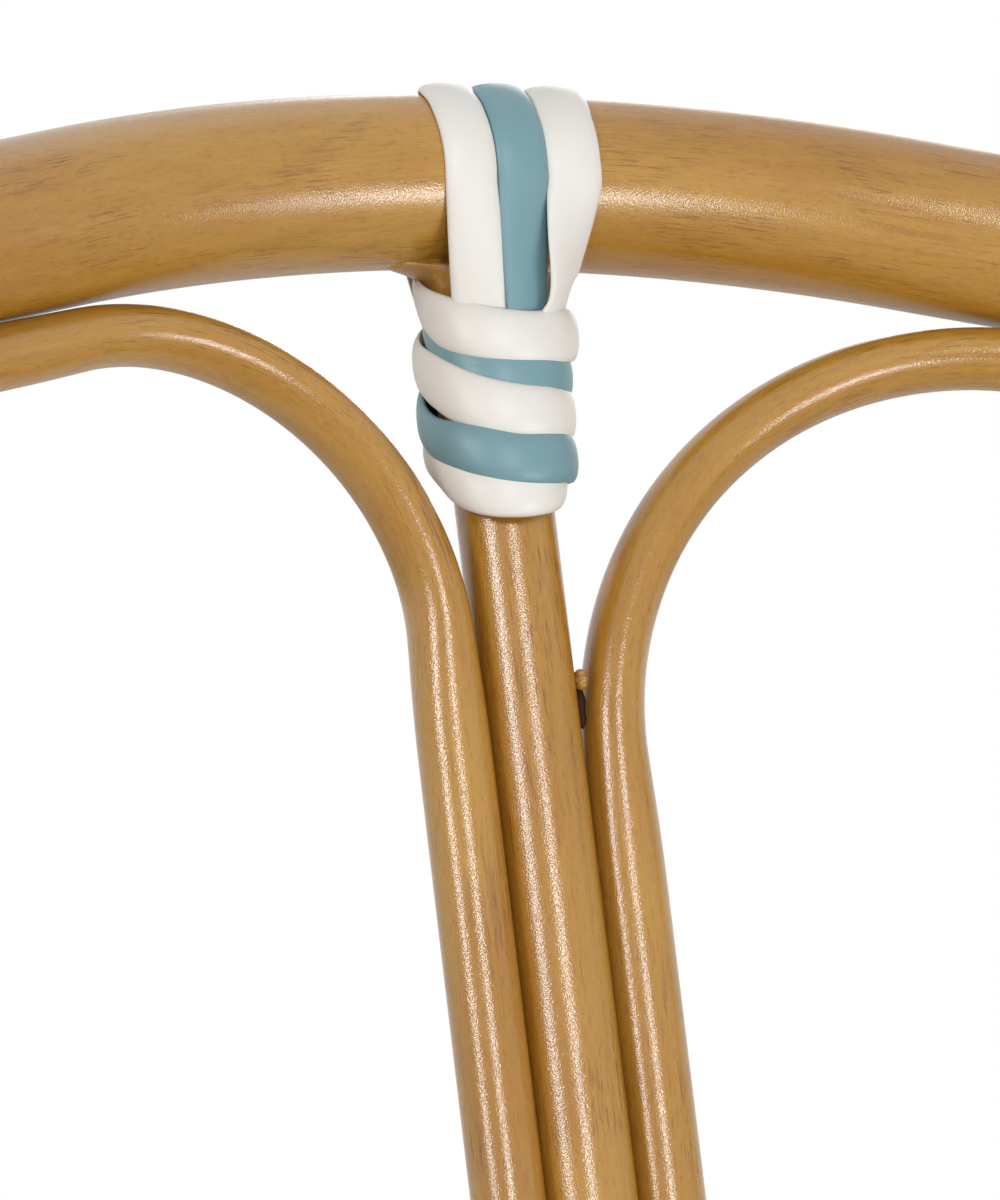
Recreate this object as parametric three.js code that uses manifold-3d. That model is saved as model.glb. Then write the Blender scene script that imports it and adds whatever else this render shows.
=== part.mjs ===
// Bistro chair of bent tube: an arched back hoop that runs down into the rear legs,
// two thin loops and an upright inside it, a ring seat on four legs with arched braces,
// and plastic strip bound over the joints. Front is -Y, up is +Z, millimetres.
import * as THREE from 'three';
import { mergeVertices } from 'three/addons/utils/BufferGeometryUtils.js';
import Module from 'manifold-3d';

const wasm = await Module();
wasm.setup();

// Overall sizes
const overallHeight = 880;
const seatLevel = 440;
const clearance = 0.3;

// Tube diameters
const hoopTube = 28.6;
const uprightTube = 16;
const loopTube = 12;
const ringTube = 25;
const braceTube = 16;
const barTube = 16;
const crossTube = 16;

// Back, laid out on a leaning sheet that is bowed round the sitter
const leanDegrees = 16.4;
const bowRadius = 357;
const apexRadius = 315;
const flankDegrees = 14;
const shoulderReach = 212;
const shoulderRadius = 95;
const crossRailShare = 0.752;
const leftLoopBend = 49;
const rightLoopBend = 65;
const flareReach = 16;
const flareDepth = 7;
const flareDrop = 12;
const flareThinShare = 0.48;

// Rear legs, the lower ends of the hoop
const rearBendRun = 70;
const rearFootSpread = 15;
const rearFootSplay = 82;
const rearBendSteps = 5;
const postStartShare = 1.3;

// Seat ring, wider in front
const ringFrontWidth = 390;
const ringRearWidth = 330;
const ringFront = 200;
const ringRear = 177;
const ringFrontCorner = 75;
const ringRearCorner = 80;
const postTurnDegrees = 30;

// Bars under the weave, by their places from the middle of the ring
const frontBarPlace = -65;
const rearBarPlace = 65;

// Woven seat: its skin over the ring, how far its middle dips and where its underside lies
const weaveSkin = 2.5;
const weaveDish = 3;
const weaveUnderside = 6.5;
const weaveHemDegrees = 20;
const weavePanelShares = [0.4, 0.75];
const weaveArcSteps = 6;

// Raised bands in the weave, one under each coloured strip and as wide
const weaveBandPitch = 63;
const weaveBandRise = 0.9;

// Front legs
const frontLegTube = 28.6;
const frontLegTurnDegrees = 60;
const frontFootSpread = 13;
const frontFootSplay = 10;
const frontLegDrop = 10;

// Arched braces between the legs
const braceFoot = 150;
const braceCorner = 75;

// Foot caps
const capWall = 2.4;
const capFloor = 4;
const capHeight = 26;

// Plastic strip, flat inside and domed outside
const stripWidth = 8.6;
const stripThickness = 2;
const stripOutlineShares = [[-0.5, 0], [0.5, 0], [0.47, 0.55], [0.22, 1], [-0.22, 1], [-0.47, 0.55]];

// Top joint: three strips over the rail, each by its places across and its turns round the upright
const railStraps = [
  { name: 'rail_strap_left', before: -6.3, over: -3.9, behind: -9.7, frontTurn: -46, rearTurn: -103 },
  { name: 'rail_strap_centre', before: 2.5, over: 5.6, behind: -0.6, frontTurn: 14, rearTurn: 195 },
  { name: 'rail_strap_right', before: 11.5, over: 15.1, behind: 8.5, frontTurn: 73, rearTurn: 133 },
];
const strapWrapDegrees = 50;
const strapWrapSteps = 9;
const strapTailTop = 18;
const strapTailEnd = 34;

// Top joint: two strips wound side by side round the upright and the tails
const topCoilWhiteWidth = 7.2;
const topCoilBlueWidth = 4;
const topCoilPitch = 13.4;
const topCoilTop = 19.5;
const topCoilSlopeShare = 0.45;
const topCoilWhiteTurns = 2.5;
const topCoilBlueTurns = 1.8;
const topCoilStartDegrees = 190;

// Bead beside the upright
const weldRadius = 2.6;
const weldLength = 5.2;
const weldDrop = 84;
const weldStandOff = 2;

// Bindings of the legs and of the foot of the back
const bindingWidth = 6.4;
const bindingTurns = 2;
const bindingStartDegrees = -90;
const legBindingRise = 46;
const backBindingRise = 48;

// Numbers of sides and steps
const thickSides = 14;
const thinSides = 12;
const braceSides = 10;
const loopSteps = 24;

// How far a straight step may leave the curve it follows
const bendSag = 0.45;

const radians = THREE.MathUtils.degToRad;
const chair = new THREE.Group();

// Finishes
const frameFinish = new THREE.MeshStandardMaterial({ color: 0xb88a42, roughness: 0.42, metalness: 0 });
const whiteFinish = new THREE.MeshStandardMaterial({ color: 0xebe8e2, roughness: 0.5, metalness: 0 });
const blueFinish = new THREE.MeshStandardMaterial({ color: 0x7aa0a8, roughness: 0.5, metalness: 0 });
const capFinish = new THREE.MeshStandardMaterial({ color: 0x3a2c20, roughness: 0.6, metalness: 0 });
const weldFinish = new THREE.MeshStandardMaterial({ color: 0xa87c3c, roughness: 0.5, metalness: 0 });

// A curve through given stations, so that a sweep takes one step at each
class StationCurve extends THREE.Curve {
  constructor(stations, closed = false) {
    super();
    this.stations = stations;
    this.closed = closed;
  }

  getPoint(share) {
    const last = this.stations.length - 1;
    const place = THREE.MathUtils.clamp(share, 0, 1) * last;
    const index = Math.min(Math.floor(place), last - 1);
    return this.stations[index].clone().lerp(this.stations[index + 1], place - index);
  }

  // The direction half way between the two steps that meet at a station
  getTangent(share) {
    const last = this.stations.length - 1;
    const index = Math.round(share * last);
    const before = this.closed && index === 0 ? last - 1 : Math.max(index - 1, 0);
    const after = this.closed && index === last ? 1 : Math.min(index + 1, last);
    const here = this.stations[index];
    const arriving = here.clone().sub(this.stations[before]).normalize();
    const leaving = this.stations[after].clone().sub(here).normalize();
    return arriving.add(leaving).normalize();
  }

  getUtoTmapping(share) {
    return share;
  }
}

// Where a bend of one radius sits inside a corner of a line
function bendAt(before, corner, after, radius) {
  const toBefore = before.clone().sub(corner).normalize();
  const toAfter = after.clone().sub(corner).normalize();
  const halfAngle = toBefore.angleTo(toAfter) / 2;
  const run = radius / Math.tan(halfAngle);
  const middle = toBefore.clone().add(toAfter).normalize();
  return {
    start: corner.clone().addScaledVector(toBefore, run),
    centre: corner.clone().addScaledVector(middle, radius / Math.sin(halfAngle)),
    turn: Math.PI - 2 * halfAngle,
  };
}

// Stations round one bend, from its start through its turn
function bendStations(before, corner, after, radius) {
  const { start, centre, turn } = bendAt(before, corner, after, radius);
  const axis = corner.clone().sub(before).cross(after.clone().sub(corner)).normalize();
  const steps = Math.ceil(turn / (2 * Math.acos(1 - bendSag / radius)));
  const arm = start.sub(centre);
  return Array.from({ length: steps + 1 }, (_, step) =>
    arm.clone().applyAxisAngle(axis, (turn * step) / steps).add(centre));
}

// Stations along a line with a bend at each inner corner
function bentLine(corners, radii) {
  const stations = [corners[0].clone()];
  for (let i = 1; i < corners.length - 1; i += 1) {
    stations.push(...bendStations(corners[i - 1], corners[i], corners[i + 1], radii[i - 1]));
  }
  stations.push(corners.at(-1).clone());
  return stations;
}

// The same for a line that closes on itself
function bentRing(corners, radii) {
  const count = corners.length;
  const stations = corners.flatMap((corner, i) =>
    bendStations(corners[(i + count - 1) % count], corner, corners[(i + 1) % count], radii[i]));
  stations.push(stations[0].clone());
  return stations;
}

// Extra stations on stretches that run far across, so that a bowed line keeps its bow
function divided(stations, radius) {
  const longest = 2 * radius * Math.acos(1 - bendSag / radius);
  const result = [stations[0]];
  for (let i = 1; i < stations.length; i += 1) {
    const parts = Math.ceil(Math.abs(stations[i].x - stations[i - 1].x) / longest);
    if (parts === 0) result.push(stations[i].clone());
    for (let part = 1; part <= parts; part += 1) {
      result.push(stations[i - 1].clone().lerp(stations[i], part / parts));
    }
  }
  return result;
}

// A round tube, solid in section, along stations
function tube(stations, diameter, sides) {
  const rim = Array.from({ length: sides }, (_, side) => {
    const angle = (2 * Math.PI * (side + 0.5)) / sides;
    return new THREE.Vector2(Math.cos(angle), Math.sin(angle)).multiplyScalar(diameter / 2);
  });
  const options = { extrudePath: new StationCurve(stations), steps: stations.length - 1 };
  return new THREE.ExtrudeGeometry(new THREE.Shape(rim), options);
}

// A round tube that closes on itself
function tubeRing(stations, diameter, sides) {
  const curve = new StationCurve(stations, true);
  return new THREE.TubeGeometry(curve, stations.length - 1, diameter / 2, sides, true);
}

// A closed geometry as a solid that can be cut and joined
function solidOf(geometry) {
  const bare = geometry.clone();
  bare.deleteAttribute('normal');
  bare.deleteAttribute('uv');
  const merged = mergeVertices(bare);
  const vertProperties = new Float32Array(merged.attributes.position.array);
  const triVerts = new Uint32Array(merged.index.array);
  return new wasm.Manifold(new wasm.Mesh({ numProp: 3, vertProperties, triVerts }));
}

function geometryOf(solid) {
  const mesh = solid.getMesh();
  const geometry = new THREE.BufferGeometry();
  geometry.setAttribute('position', new THREE.BufferAttribute(mesh.vertProperties, 3));
  geometry.setIndex(new THREE.BufferAttribute(mesh.triVerts, 1));
  geometry.computeVertexNormals();
  return geometry;
}

function addPiece(name, solid, finish) {
  const piece = new THREE.Mesh(geometryOf(solid), finish);
  piece.name = name;
  chair.add(piece);
}

// Everything below a level, for cutting ends flat
function blockBelow(level) {
  const size = 2 * overallHeight;
  const block = new THREE.BoxGeometry(size, size, size);
  block.translate(0, 0, level - size / 2);
  return solidOf(block);
}

// Between two places, at a level
function atLevel(top, foot, level) {
  return top.clone().lerp(foot, (top.z - level) / (top.z - foot.z));
}

// The seat ring's outline on its level
const ringCorners = [
  new THREE.Vector3(ringFrontWidth / 2, -ringFront, seatLevel),
  new THREE.Vector3(ringRearWidth / 2, ringRear, seatLevel),
  new THREE.Vector3(-ringRearWidth / 2, ringRear, seatLevel),
  new THREE.Vector3(-ringFrontWidth / 2, -ringFront, seatLevel),
];
const ringRadii = [ringFrontCorner, ringRearCorner, ringRearCorner, ringFrontCorner];
const ringStations = bentRing(ringCorners, ringRadii);
const ringMiddle = (ringRear - ringFront) / 2;

// The right post stands against the ring's rear corner
const rearBend = bendAt(ringCorners[0], ringCorners[1], ringCorners[2], ringRearCorner);
const postDistance = ringRearCorner + (ringTube + hoopTube) / 2 + clearance;
const postTurn = radians(postTurnDegrees);
const postPlace = new THREE.Vector3(Math.cos(postTurn), Math.sin(postTurn), 0)
  .multiplyScalar(postDistance).add(rearBend.centre);

// The back's sheet leans and is bowed, and places on it are across, up and in front of it
const lean = radians(leanDegrees);
const acrossAxis = new THREE.Vector3(1, 0, 0);
const backUp = new THREE.Vector3(0, Math.sin(lean), Math.cos(lean));
const backFront = new THREE.Vector3(0, -Math.cos(lean), Math.sin(lean));
const postAcross = bowRadius * Math.asin(postPlace.x / bowRadius);
const postBow = bowRadius * (1 - Math.cos(postAcross / bowRadius));
const railLevel = overallHeight - hoopTube / 2;
const postRise = (seatLevel - railLevel - postBow * backFront.z) / backUp.z;
const railBack = postPlace.y - postRise * backUp.y - postBow * backFront.y;
const railCentre = new THREE.Vector3(0, railBack, railLevel);
const crossRailDrop = -crossRailShare * postRise;

function onBack(across, rise, front = 0) {
  const turn = across / bowRadius;
  const inward = acrossAxis.clone().multiplyScalar(-Math.sin(turn));
  inward.addScaledVector(backFront, Math.cos(turn));
  return railCentre.clone()
    .addScaledVector(backUp, rise)
    .addScaledVector(acrossAxis, bowRadius * Math.sin(turn))
    .addScaledVector(backFront, bowRadius * (1 - Math.cos(turn)))
    .addScaledVector(inward, front);
}

const onSheet = (flat) => onBack(flat.x, flat.y);

// The hoop's outline on the sheet: two posts, two shoulders and two flanks that meet at the apex
const flank = radians(flankDegrees);
const apexRise = apexRadius * (1 / Math.cos(flank) - 1);
const shoulderRise = apexRise - shoulderReach * Math.tan(flank);
const hoopCorners = [
  new THREE.Vector3(-postAcross, postRise, 0),
  new THREE.Vector3(-shoulderReach, shoulderRise, 0),
  new THREE.Vector3(0, apexRise, 0),
  new THREE.Vector3(shoulderReach, shoulderRise, 0),
  new THREE.Vector3(postAcross, postRise, 0),
];

// A rear leg: a soft bend at the seat, then straight to the floor
function rearLeg(side) {
  const corner = onBack(side * postAcross, postRise);
  const bendTop = onBack(side * postAcross, postRise + rearBendRun);
  const foot = new THREE.Vector3(corner.x + side * rearFootSpread, corner.y + rearFootSplay, 0);
  const bendFoot = corner.clone().lerp(foot, rearBendRun / corner.distanceTo(foot));
  const bend = new THREE.QuadraticBezierCurve3(bendTop, corner, bendFoot).getPoints(rearBendSteps);
  return { top: corner, foot, bend, tube: hoopTube };
}

// A front leg stands under the ring's front corner
function frontLeg(side) {
  const { centre } = bendAt(ringCorners[3], ringCorners[0], ringCorners[1], ringFrontCorner);
  const turn = radians(frontLegTurnDegrees);
  const reach = centre.x + ringFrontCorner * Math.cos(turn);
  const top = new THREE.Vector3(side * reach, centre.y - ringFrontCorner * Math.sin(turn), seatLevel);
  const foot = new THREE.Vector3(top.x + side * frontFootSpread, top.y - frontFootSplay, 0);
  return { top, foot, tube: frontLegTube };
}

const legs = {
  front_left: frontLeg(-1),
  front_right: frontLeg(1),
  rear_left: rearLeg(-1),
  rear_right: rearLeg(1),
};

// The hoop runs from one rear foot up, over and down to the other
function hoopStations() {
  const arch = divided(bentLine(hoopCorners, [shoulderRadius, apexRadius, shoulderRadius]), bowRadius);
  const above = arch.filter((flat) => flat.y > postRise + postStartShare * rearBendRun).map(onSheet);
  const left = legs.rear_left;
  const right = legs.rear_right;
  return [left.foot, ...left.bend.toReversed(), ...above, ...right.bend, right.foot];
}

const hoopPath = hoopStations();
const hoopWhole = solidOf(tube(hoopPath, hoopTube, thickSides));
const hoopCutter = solidOf(tube(hoopPath, hoopTube + 2 * clearance, thickSides));

// The tube between the posts that the upright and the loops stand on
function crossRailStations() {
  const down = (shoulderRise + crossRailDrop) / (shoulderRise - postRise);
  const end = hoopCorners[3].clone().lerp(hoopCorners[4], down);
  const otherEnd = new THREE.Vector3(-end.x, end.y, 0);
  return divided([otherEnd, end], bowRadius).map(onSheet);
}

const crossPath = crossRailStations();
const crossWhole = solidOf(tube(crossPath, crossTube, thinSides));
const crossCutter = solidOf(tube(crossPath, crossTube + 2 * clearance, thinSides));

// The upright, flared where it meets the rail, with a margin all round when it is a cutter
function uprightWhole(margin) {
  const ends = [onBack(0, -crossRailDrop), onBack(0, 0)];
  const shaft = solidOf(tube(ends, uprightTube + 2 * margin, thickSides));
  const flare = new THREE.CylinderGeometry(flareReach, uprightTube / 2, flareDepth, 2 * thickSides);
  flare.scale(1, 1, flareThinShare);
  flare.scale(1 + margin / flareReach, 1 + margin / flareDepth, 1 + margin / (flareReach * flareThinShare));
  flare.applyMatrix4(new THREE.Matrix4().makeBasis(acrossAxis, backUp, backFront));
  flare.translate(...onBack(0, -flareDrop - flareDepth / 2).toArray());
  return shaft.add(solidOf(flare));
}

const uprightSolid = uprightWhole(0).subtract(hoopCutter).subtract(crossCutter);
const uprightCutter = uprightWhole(clearance);

// A loop runs up beside the upright, bends out under the rail and comes down inside the post
const loopAcross = (uprightTube + loopTube) / 2 + clearance;
const loopInset = (hoopTube + loopTube) / 2 + clearance;

function loopStations(side, bend) {
  const [, , apex, shoulder, post] = hoopCorners;
  const apexInset = bendAt(hoopCorners[1], apex, shoulder, loopInset).centre;
  const shoulderInset = bendAt(apex, shoulder, post, loopInset).centre;
  const postLine = post.clone().sub(shoulder);
  const outerFoot = shoulderInset.clone()
    .addScaledVector(postLine, (crossRailDrop + shoulderInset.y) / -postLine.y);
  const corners = [
    new THREE.Vector3(loopAcross, -crossRailDrop, 0),
    apexInset.clone().lerp(shoulderInset, loopAcross / shoulderInset.x),
    shoulderInset,
    outerFoot,
  ];
  const outline = divided(bentLine(corners, [bend, shoulderRadius - loopInset]), bowRadius);
  return outline.map((flat) => onBack(side * flat.x, flat.y));
}

function loopSolid(side, bend) {
  return solidOf(tube(loopStations(side, bend), loopTube, thinSides))
    .subtract(crossCutter)
    .subtract(hoopCutter);
}

// The bead that joins the upright and the right loop, cut to the groove between them
function weldSolid() {
  const bead = new THREE.SphereGeometry(weldRadius, thickSides, braceSides);
  bead.scale(1, weldLength / weldRadius, 1);
  bead.applyMatrix4(new THREE.Matrix4().makeBasis(acrossAxis, backUp, backFront));
  bead.translate(...onBack(uprightTube / 2 + clearance, -weldDrop, weldRadius + weldStandOff).toArray());
  const ends = [onBack(0, -weldDrop - 2 * weldLength), onBack(0, -weldDrop + 2 * weldLength)];
  const upright = solidOf(tube(ends, uprightTube + clearance, 2 * thickSides));
  const loop = solidOf(tube(loopStations(1, rightLoopBend), loopTube + clearance, 2 * thinSides));
  return solidOf(bead).subtract(upright).subtract(loop);
}

// The seat ring and the bars across it
const ringWhole = solidOf(tubeRing(ringStations, ringTube, thickSides));
const ringCutter = solidOf(tubeRing(ringStations, ringTube + 2 * clearance, thickSides));

function barSolid(place) {
  const level = seatLevel + weaveUnderside - clearance - barTube / 2;
  const reach = ringFrontWidth / 2;
  const ends = [-reach, reach].map((across) => new THREE.Vector3(across, ringMiddle + place, level));
  const whole = solidOf(tube(ends, barTube, thinSides));
  return whole.subtract(ringCutter).decompose()
    .reduce((longest, part) => (part.volume() > longest.volume() ? part : longest));
}

// A closed skin from rows of places round the ring, one row to each column of its section
function skinSolid(columns, topMiddle, underMiddle) {
  const rows = columns[0].length;
  const places = [...columns.flat(), topMiddle, underMiddle];
  const top = places.length - 2;
  const under = places.length - 1;
  const last = (columns.length - 1) * rows;
  const index = [];
  for (let row = 0; row < rows; row += 1) {
    const next = (row + 1) % rows;
    index.push(top, row, next);
    index.push(under, last + next, last + row);
    for (let column = 0; column < last; column += rows) {
      index.push(column + row, column + rows + row, column + rows + next);
      index.push(column + row, column + rows + next, column + next);
    }
  }
  const geometry = new THREE.BufferGeometry().setFromPoints(places);
  geometry.setIndex(index);
  return solidOf(geometry);
}

// A dished panel over the ring, of one thickness, whose hem wraps over the outside of the ring
function weaveSheet(skin) {
  const hem = -radians(weaveHemDegrees);
  const hook = Math.PI - Math.asin((2 * weaveUnderside) / ringTube);
  const inner = (ringTube / 2 + clearance) / Math.cos((hook - hem) / (2 * weaveArcSteps));
  const outer = inner + skin;
  const stations = ringStations.slice(0, -1);
  const curve = new StationCurve(ringStations, true);
  const up = new THREE.Vector3(0, 0, 1);
  const outward = stations.map((_, i) => curve.getTangent(i / stations.length).cross(up).normalize());
  const middle = new THREE.Vector3(0, ringMiddle, seatLevel);
  const round = (radius, angle) => stations.map((station, i) => station.clone()
    .addScaledVector(outward[i], radius * Math.cos(angle))
    .addScaledVector(up, radius * Math.sin(angle)));
  const panel = (share, rise) => stations.map((station) => {
    const place = middle.clone().lerp(station, share);
    return place.addScaledVector(up, rise);
  });
  const dish = (share) => outer - weaveDish * (1 - share * share);
  const steps = Array.from({ length: weaveArcSteps + 1 }, (_, i) => i / weaveArcSteps);
  const columns = [
    ...weavePanelShares.map((share) => panel(share, dish(share))),
    ...steps.map((share) => round(outer, THREE.MathUtils.lerp(Math.PI / 2, hem, share))),
    ...steps.map((share) => round(inner, THREE.MathUtils.lerp(hem, hook, share))),
    ...weavePanelShares.toReversed().map((share) => panel(share, weaveUnderside)),
  ];
  const topMiddle = middle.clone().addScaledVector(up, dish(0));
  const underMiddle = middle.clone().addScaledVector(up, weaveUnderside);
  return skinSolid(columns, topMiddle, underMiddle);
}

// A tall wall through the seat along one band
function bandWall(across, along, width, length) {
  const wall = new THREE.BoxGeometry(width, length, seatLevel);
  wall.translate(across, ringMiddle + along, seatLevel + seatLevel / 2);
  return solidOf(wall);
}

// The woven seat: the panel, and bands in both directions that stand proud of it
function weaveSolid() {
  const count = Math.floor(ringRearWidth / 2 / weaveBandPitch);
  const places = Array.from({ length: 2 * count + 1 }, (_, i) => (i - count) * weaveBandPitch);
  const walls = places.flatMap((place) => [
    bandWall(place, 0, stripWidth, 2 * ringFrontWidth),
    bandWall(0, place, 2 * ringFrontWidth, stripWidth),
  ]);
  const bands = weaveSheet(weaveSkin + weaveBandRise).intersect(wasm.Manifold.union(walls));
  return weaveSheet(weaveSkin).add(bands).subtract(hoopCutter);
}

// A front leg, its top cut to the ring and its foot cut flat
function frontLegSolid(leg) {
  const top = atLevel(leg.top, leg.foot, seatLevel - frontLegDrop);
  return solidOf(tube([top, leg.foot], leg.tube, thickSides))
    .subtract(ringCutter)
    .subtract(blockBelow(capFloor + clearance));
}

// A foot cap: a cup round the end of a leg, flat on the floor
function capSolid(leg) {
  const mouth = atLevel(leg.top, leg.foot, capHeight);
  const below = atLevel(leg.top, leg.foot, -capHeight);
  const top = atLevel(leg.top, leg.foot, 2 * capHeight);
  const outside = leg.tube + 2 * (clearance + capWall);
  const shell = solidOf(tube([mouth, below], outside, thickSides)).subtract(blockBelow(0));
  const bore = solidOf(tube([top, below], leg.tube + 2 * clearance, thickSides));
  return shell.subtract(bore.subtract(blockBelow(capFloor)));
}

// A brace climbs beside one leg, crosses under the ring and goes down beside the next
const braceTop = seatLevel - (ringTube + braceTube) / 2 - clearance;

function braceSide(leg, other, level) {
  const place = atLevel(leg.top, leg.foot, level);
  const towards = atLevel(other.top, other.foot, level).sub(place).normalize();
  return place.addScaledVector(towards, (leg.tube + braceTube) / 2 + clearance);
}

function braceSolid(leg, other) {
  const corners = [
    braceSide(leg, other, braceFoot),
    braceSide(leg, other, braceTop),
    braceSide(other, leg, braceTop),
    braceSide(other, leg, braceFoot),
  ];
  return solidOf(tube(bentLine(corners, [braceCorner, braceCorner]), braceTube, braceSides));
}

// A strip along places that each have an outward direction
function stripRows(places, width) {
  return places.map(({ at, out }, i) => {
    const before = places[Math.max(i - 1, 0)].at;
    const after = places[Math.min(i + 1, places.length - 1)].at;
    const along = after.clone().sub(before).normalize();
    const across = along.clone().cross(out).normalize();
    const rise = across.clone().cross(along);
    return stripOutlineShares.map(([widthShare, thicknessShare]) => at.clone()
      .addScaledVector(across, widthShare * width)
      .addScaledVector(rise, thicknessShare * stripThickness));
  });
}

function stripSolid(rows) {
  const sides = rows[0].length;
  const last = (rows.length - 1) * sides;
  const index = [];
  for (let side = 0; side < sides; side += 1) {
    const next = (side + 1) % sides;
    for (let row = 0; row < last; row += sides) {
      index.push(row + side, row + sides + side, row + sides + next);
      index.push(row + side, row + sides + next, row + next);
    }
  }
  for (let side = 1; side < sides - 1; side += 1) {
    index.push(0, side, side + 1);
    index.push(last, last + side + 1, last + side);
  }
  const geometry = new THREE.BufferGeometry().setFromPoints(rows.flat());
  geometry.setIndex(index);
  return solidOf(geometry);
}

// A strip over the rail: up the front, over the top, down the back, with a tail at each end
function strapPlaces({ before, over, behind, frontTurn, rearTurn }) {
  const wrap = radians(strapWrapDegrees);
  const halfStep = (Math.PI / 2 + wrap) / strapWrapSteps;
  const railReach = (hoopTube / 2 + clearance) / Math.cos(halfStep);
  const tailReach = uprightTube / 2 + clearance;
  const tail = (turnDegrees, drop) => {
    const turn = radians(turnDegrees);
    const out = acrossAxis.clone().multiplyScalar(Math.sin(turn)).addScaledVector(backFront, Math.cos(turn));
    const at = onBack(0, -drop).addScaledVector(out, tailReach);
    return { at, out };
  };
  const round = Array.from({ length: strapWrapSteps + 1 }, (_, step) => {
    const angle = THREE.MathUtils.lerp(-wrap, Math.PI + wrap, step / strapWrapSteps);
    const climb = THREE.MathUtils.clamp(angle / (Math.PI / 2), 0, 2);
    const across = climb < 1
      ? THREE.MathUtils.lerp(before, over, climb)
      : THREE.MathUtils.lerp(over, behind, climb - 1);
    const out = backUp.clone().multiplyScalar(Math.sin(angle)).addScaledVector(backFront, Math.cos(angle));
    const rise = Math.sqrt(apexRadius ** 2 - across ** 2) - apexRadius;
    const at = onBack(across, rise).addScaledVector(out, railReach);
    return { at, out };
  });
  return [
    tail(frontTurn, strapTailEnd),
    tail(frontTurn, strapTailTop),
    ...round,
    tail(rearTurn, strapTailTop),
    tail(rearTurn, strapTailEnd),
  ];
}

// The place furthest out in a direction on a bundle of round members
function bundleReach(members, turn) {
  const reach = ({ across, front, radius }) => across * Math.cos(turn) + front * Math.sin(turn) + radius;
  return members.reduce((best, member) => (reach(member) > reach(best) ? member : best));
}

// A strip wound down round a bundle, to the right in front, and lower in front by its slope
function windingPlaces({ origin, right, front, up }, members, { startDegrees, turns, pitch, drop, slope = 0 }) {
  const steps = Math.round(turns * loopSteps);
  return Array.from({ length: steps + 1 }, (_, step) => {
    const turn = radians(startDegrees) - (2 * Math.PI * step) / loopSteps;
    const member = bundleReach(members, turn);
    const out = right.clone().multiplyScalar(Math.cos(turn)).addScaledVector(front, Math.sin(turn));
    const reach = (member.radius + clearance) / Math.cos(Math.PI / loopSteps);
    const at = origin.clone()
      .addScaledVector(right, member.across)
      .addScaledVector(front, member.front)
      .addScaledVector(out, reach)
      .addScaledVector(up, -drop - (pitch * step) / loopSteps - slope * reach * Math.sin(turn));
    return { at, out };
  });
}

// The least gap of a winding to itself, on the points of its sections half a turn or more apart
function leastSelfGap(rows) {
  let least = Infinity;
  for (let row = 0; row < rows.length; row += 1) {
    for (let other = row + loopSteps / 2; other < rows.length; other += 1) {
      for (const here of rows[row]) {
        for (const there of rows[other]) {
          least = Math.min(least, here.distanceTo(there));
        }
      }
    }
  }
  return least;
}

function windingSolid(name, frame, members, winding, width) {
  const rows = stripRows(windingPlaces(frame, members, winding), width);
  console.log(`${name}: least gap to itself ${leastSelfGap(rows).toFixed(2)} mm`);
  return stripSolid(rows);
}

// A white and a blue strip wound side by side
function addBinding(name, frame, members, startDegrees, drop) {
  const pitch = 2 * (bindingWidth + 2 * clearance);
  const white = { startDegrees, turns: bindingTurns, pitch, drop };
  const blue = { ...white, drop: drop + pitch / 2 };
  addPiece(`${name}_white`, windingSolid(`${name}_white`, frame, members, white, bindingWidth), whiteFinish);
  addPiece(`${name}_blue`, windingSolid(`${name}_blue`, frame, members, blue, bindingWidth), blueFinish);
}

// The joint of rail and upright
function addTopJoint() {
  for (const strap of railStraps) {
    const finish = strap.name === 'rail_strap_centre' ? blueFinish : whiteFinish;
    const whole = stripSolid(stripRows(strapPlaces(strap), stripWidth));
    addPiece(strap.name, whole.subtract(hoopCutter).subtract(uprightCutter), finish);
  }
  const frame = { origin: railCentre, right: acrossAxis, front: backFront, up: backUp };
  const bundle = [{ across: 0, front: 0, radius: uprightTube / 2 + clearance + stripThickness }];
  const both = { startDegrees: topCoilStartDegrees, pitch: topCoilPitch, slope: topCoilSlopeShare };
  const white = { ...both, turns: topCoilWhiteTurns, drop: topCoilTop };
  const blue = { ...both, turns: topCoilBlueTurns, drop: topCoilTop + topCoilPitch / 2 };
  const whiteCoil = windingSolid('top_coil_white', frame, bundle, white, topCoilWhiteWidth);
  const blueCoil = windingSolid('top_coil_blue', frame, bundle, blue, topCoilBlueWidth);
  addPiece('top_coil_white', whiteCoil.subtract(uprightCutter), whiteFinish);
  addPiece('top_coil_blue', blueCoil, blueFinish);
}

// The binding round the upright and the loops' inner legs, above the cross rail
function addBackBinding() {
  const frame = { origin: onBack(0, -crossRailDrop), right: acrossAxis, front: backFront, up: backUp };
  const members = [
    { across: 0, front: 0, radius: uprightTube / 2 },
    { across: -loopAcross, front: 0, radius: loopTube / 2 },
    { across: loopAcross, front: 0, radius: loopTube / 2 },
  ];
  addBinding('back_binding', frame, members, bindingStartDegrees, -backBindingRise);
}

// The binding round a leg and the two braces that end on it
function addLegBinding(name, leg, neighbours) {
  const level = braceFoot + legBindingRise;
  const origin = atLevel(leg.top, leg.foot, level);
  const up = leg.top.clone().sub(leg.foot).normalize();
  const front = new THREE.Vector3(0, -1, 0).projectOnPlane(up).normalize();
  const right = up.clone().cross(front).negate();
  const members = neighbours.map((neighbour) => {
    const offset = braceSide(leg, neighbour, level).sub(origin);
    return { across: offset.dot(right), front: offset.dot(front), radius: braceTube / 2 };
  });
  members.push({ across: 0, front: 0, radius: leg.tube / 2 });
  addBinding(name, { origin, right, front, up }, members, bindingStartDegrees, 0);
}

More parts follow.
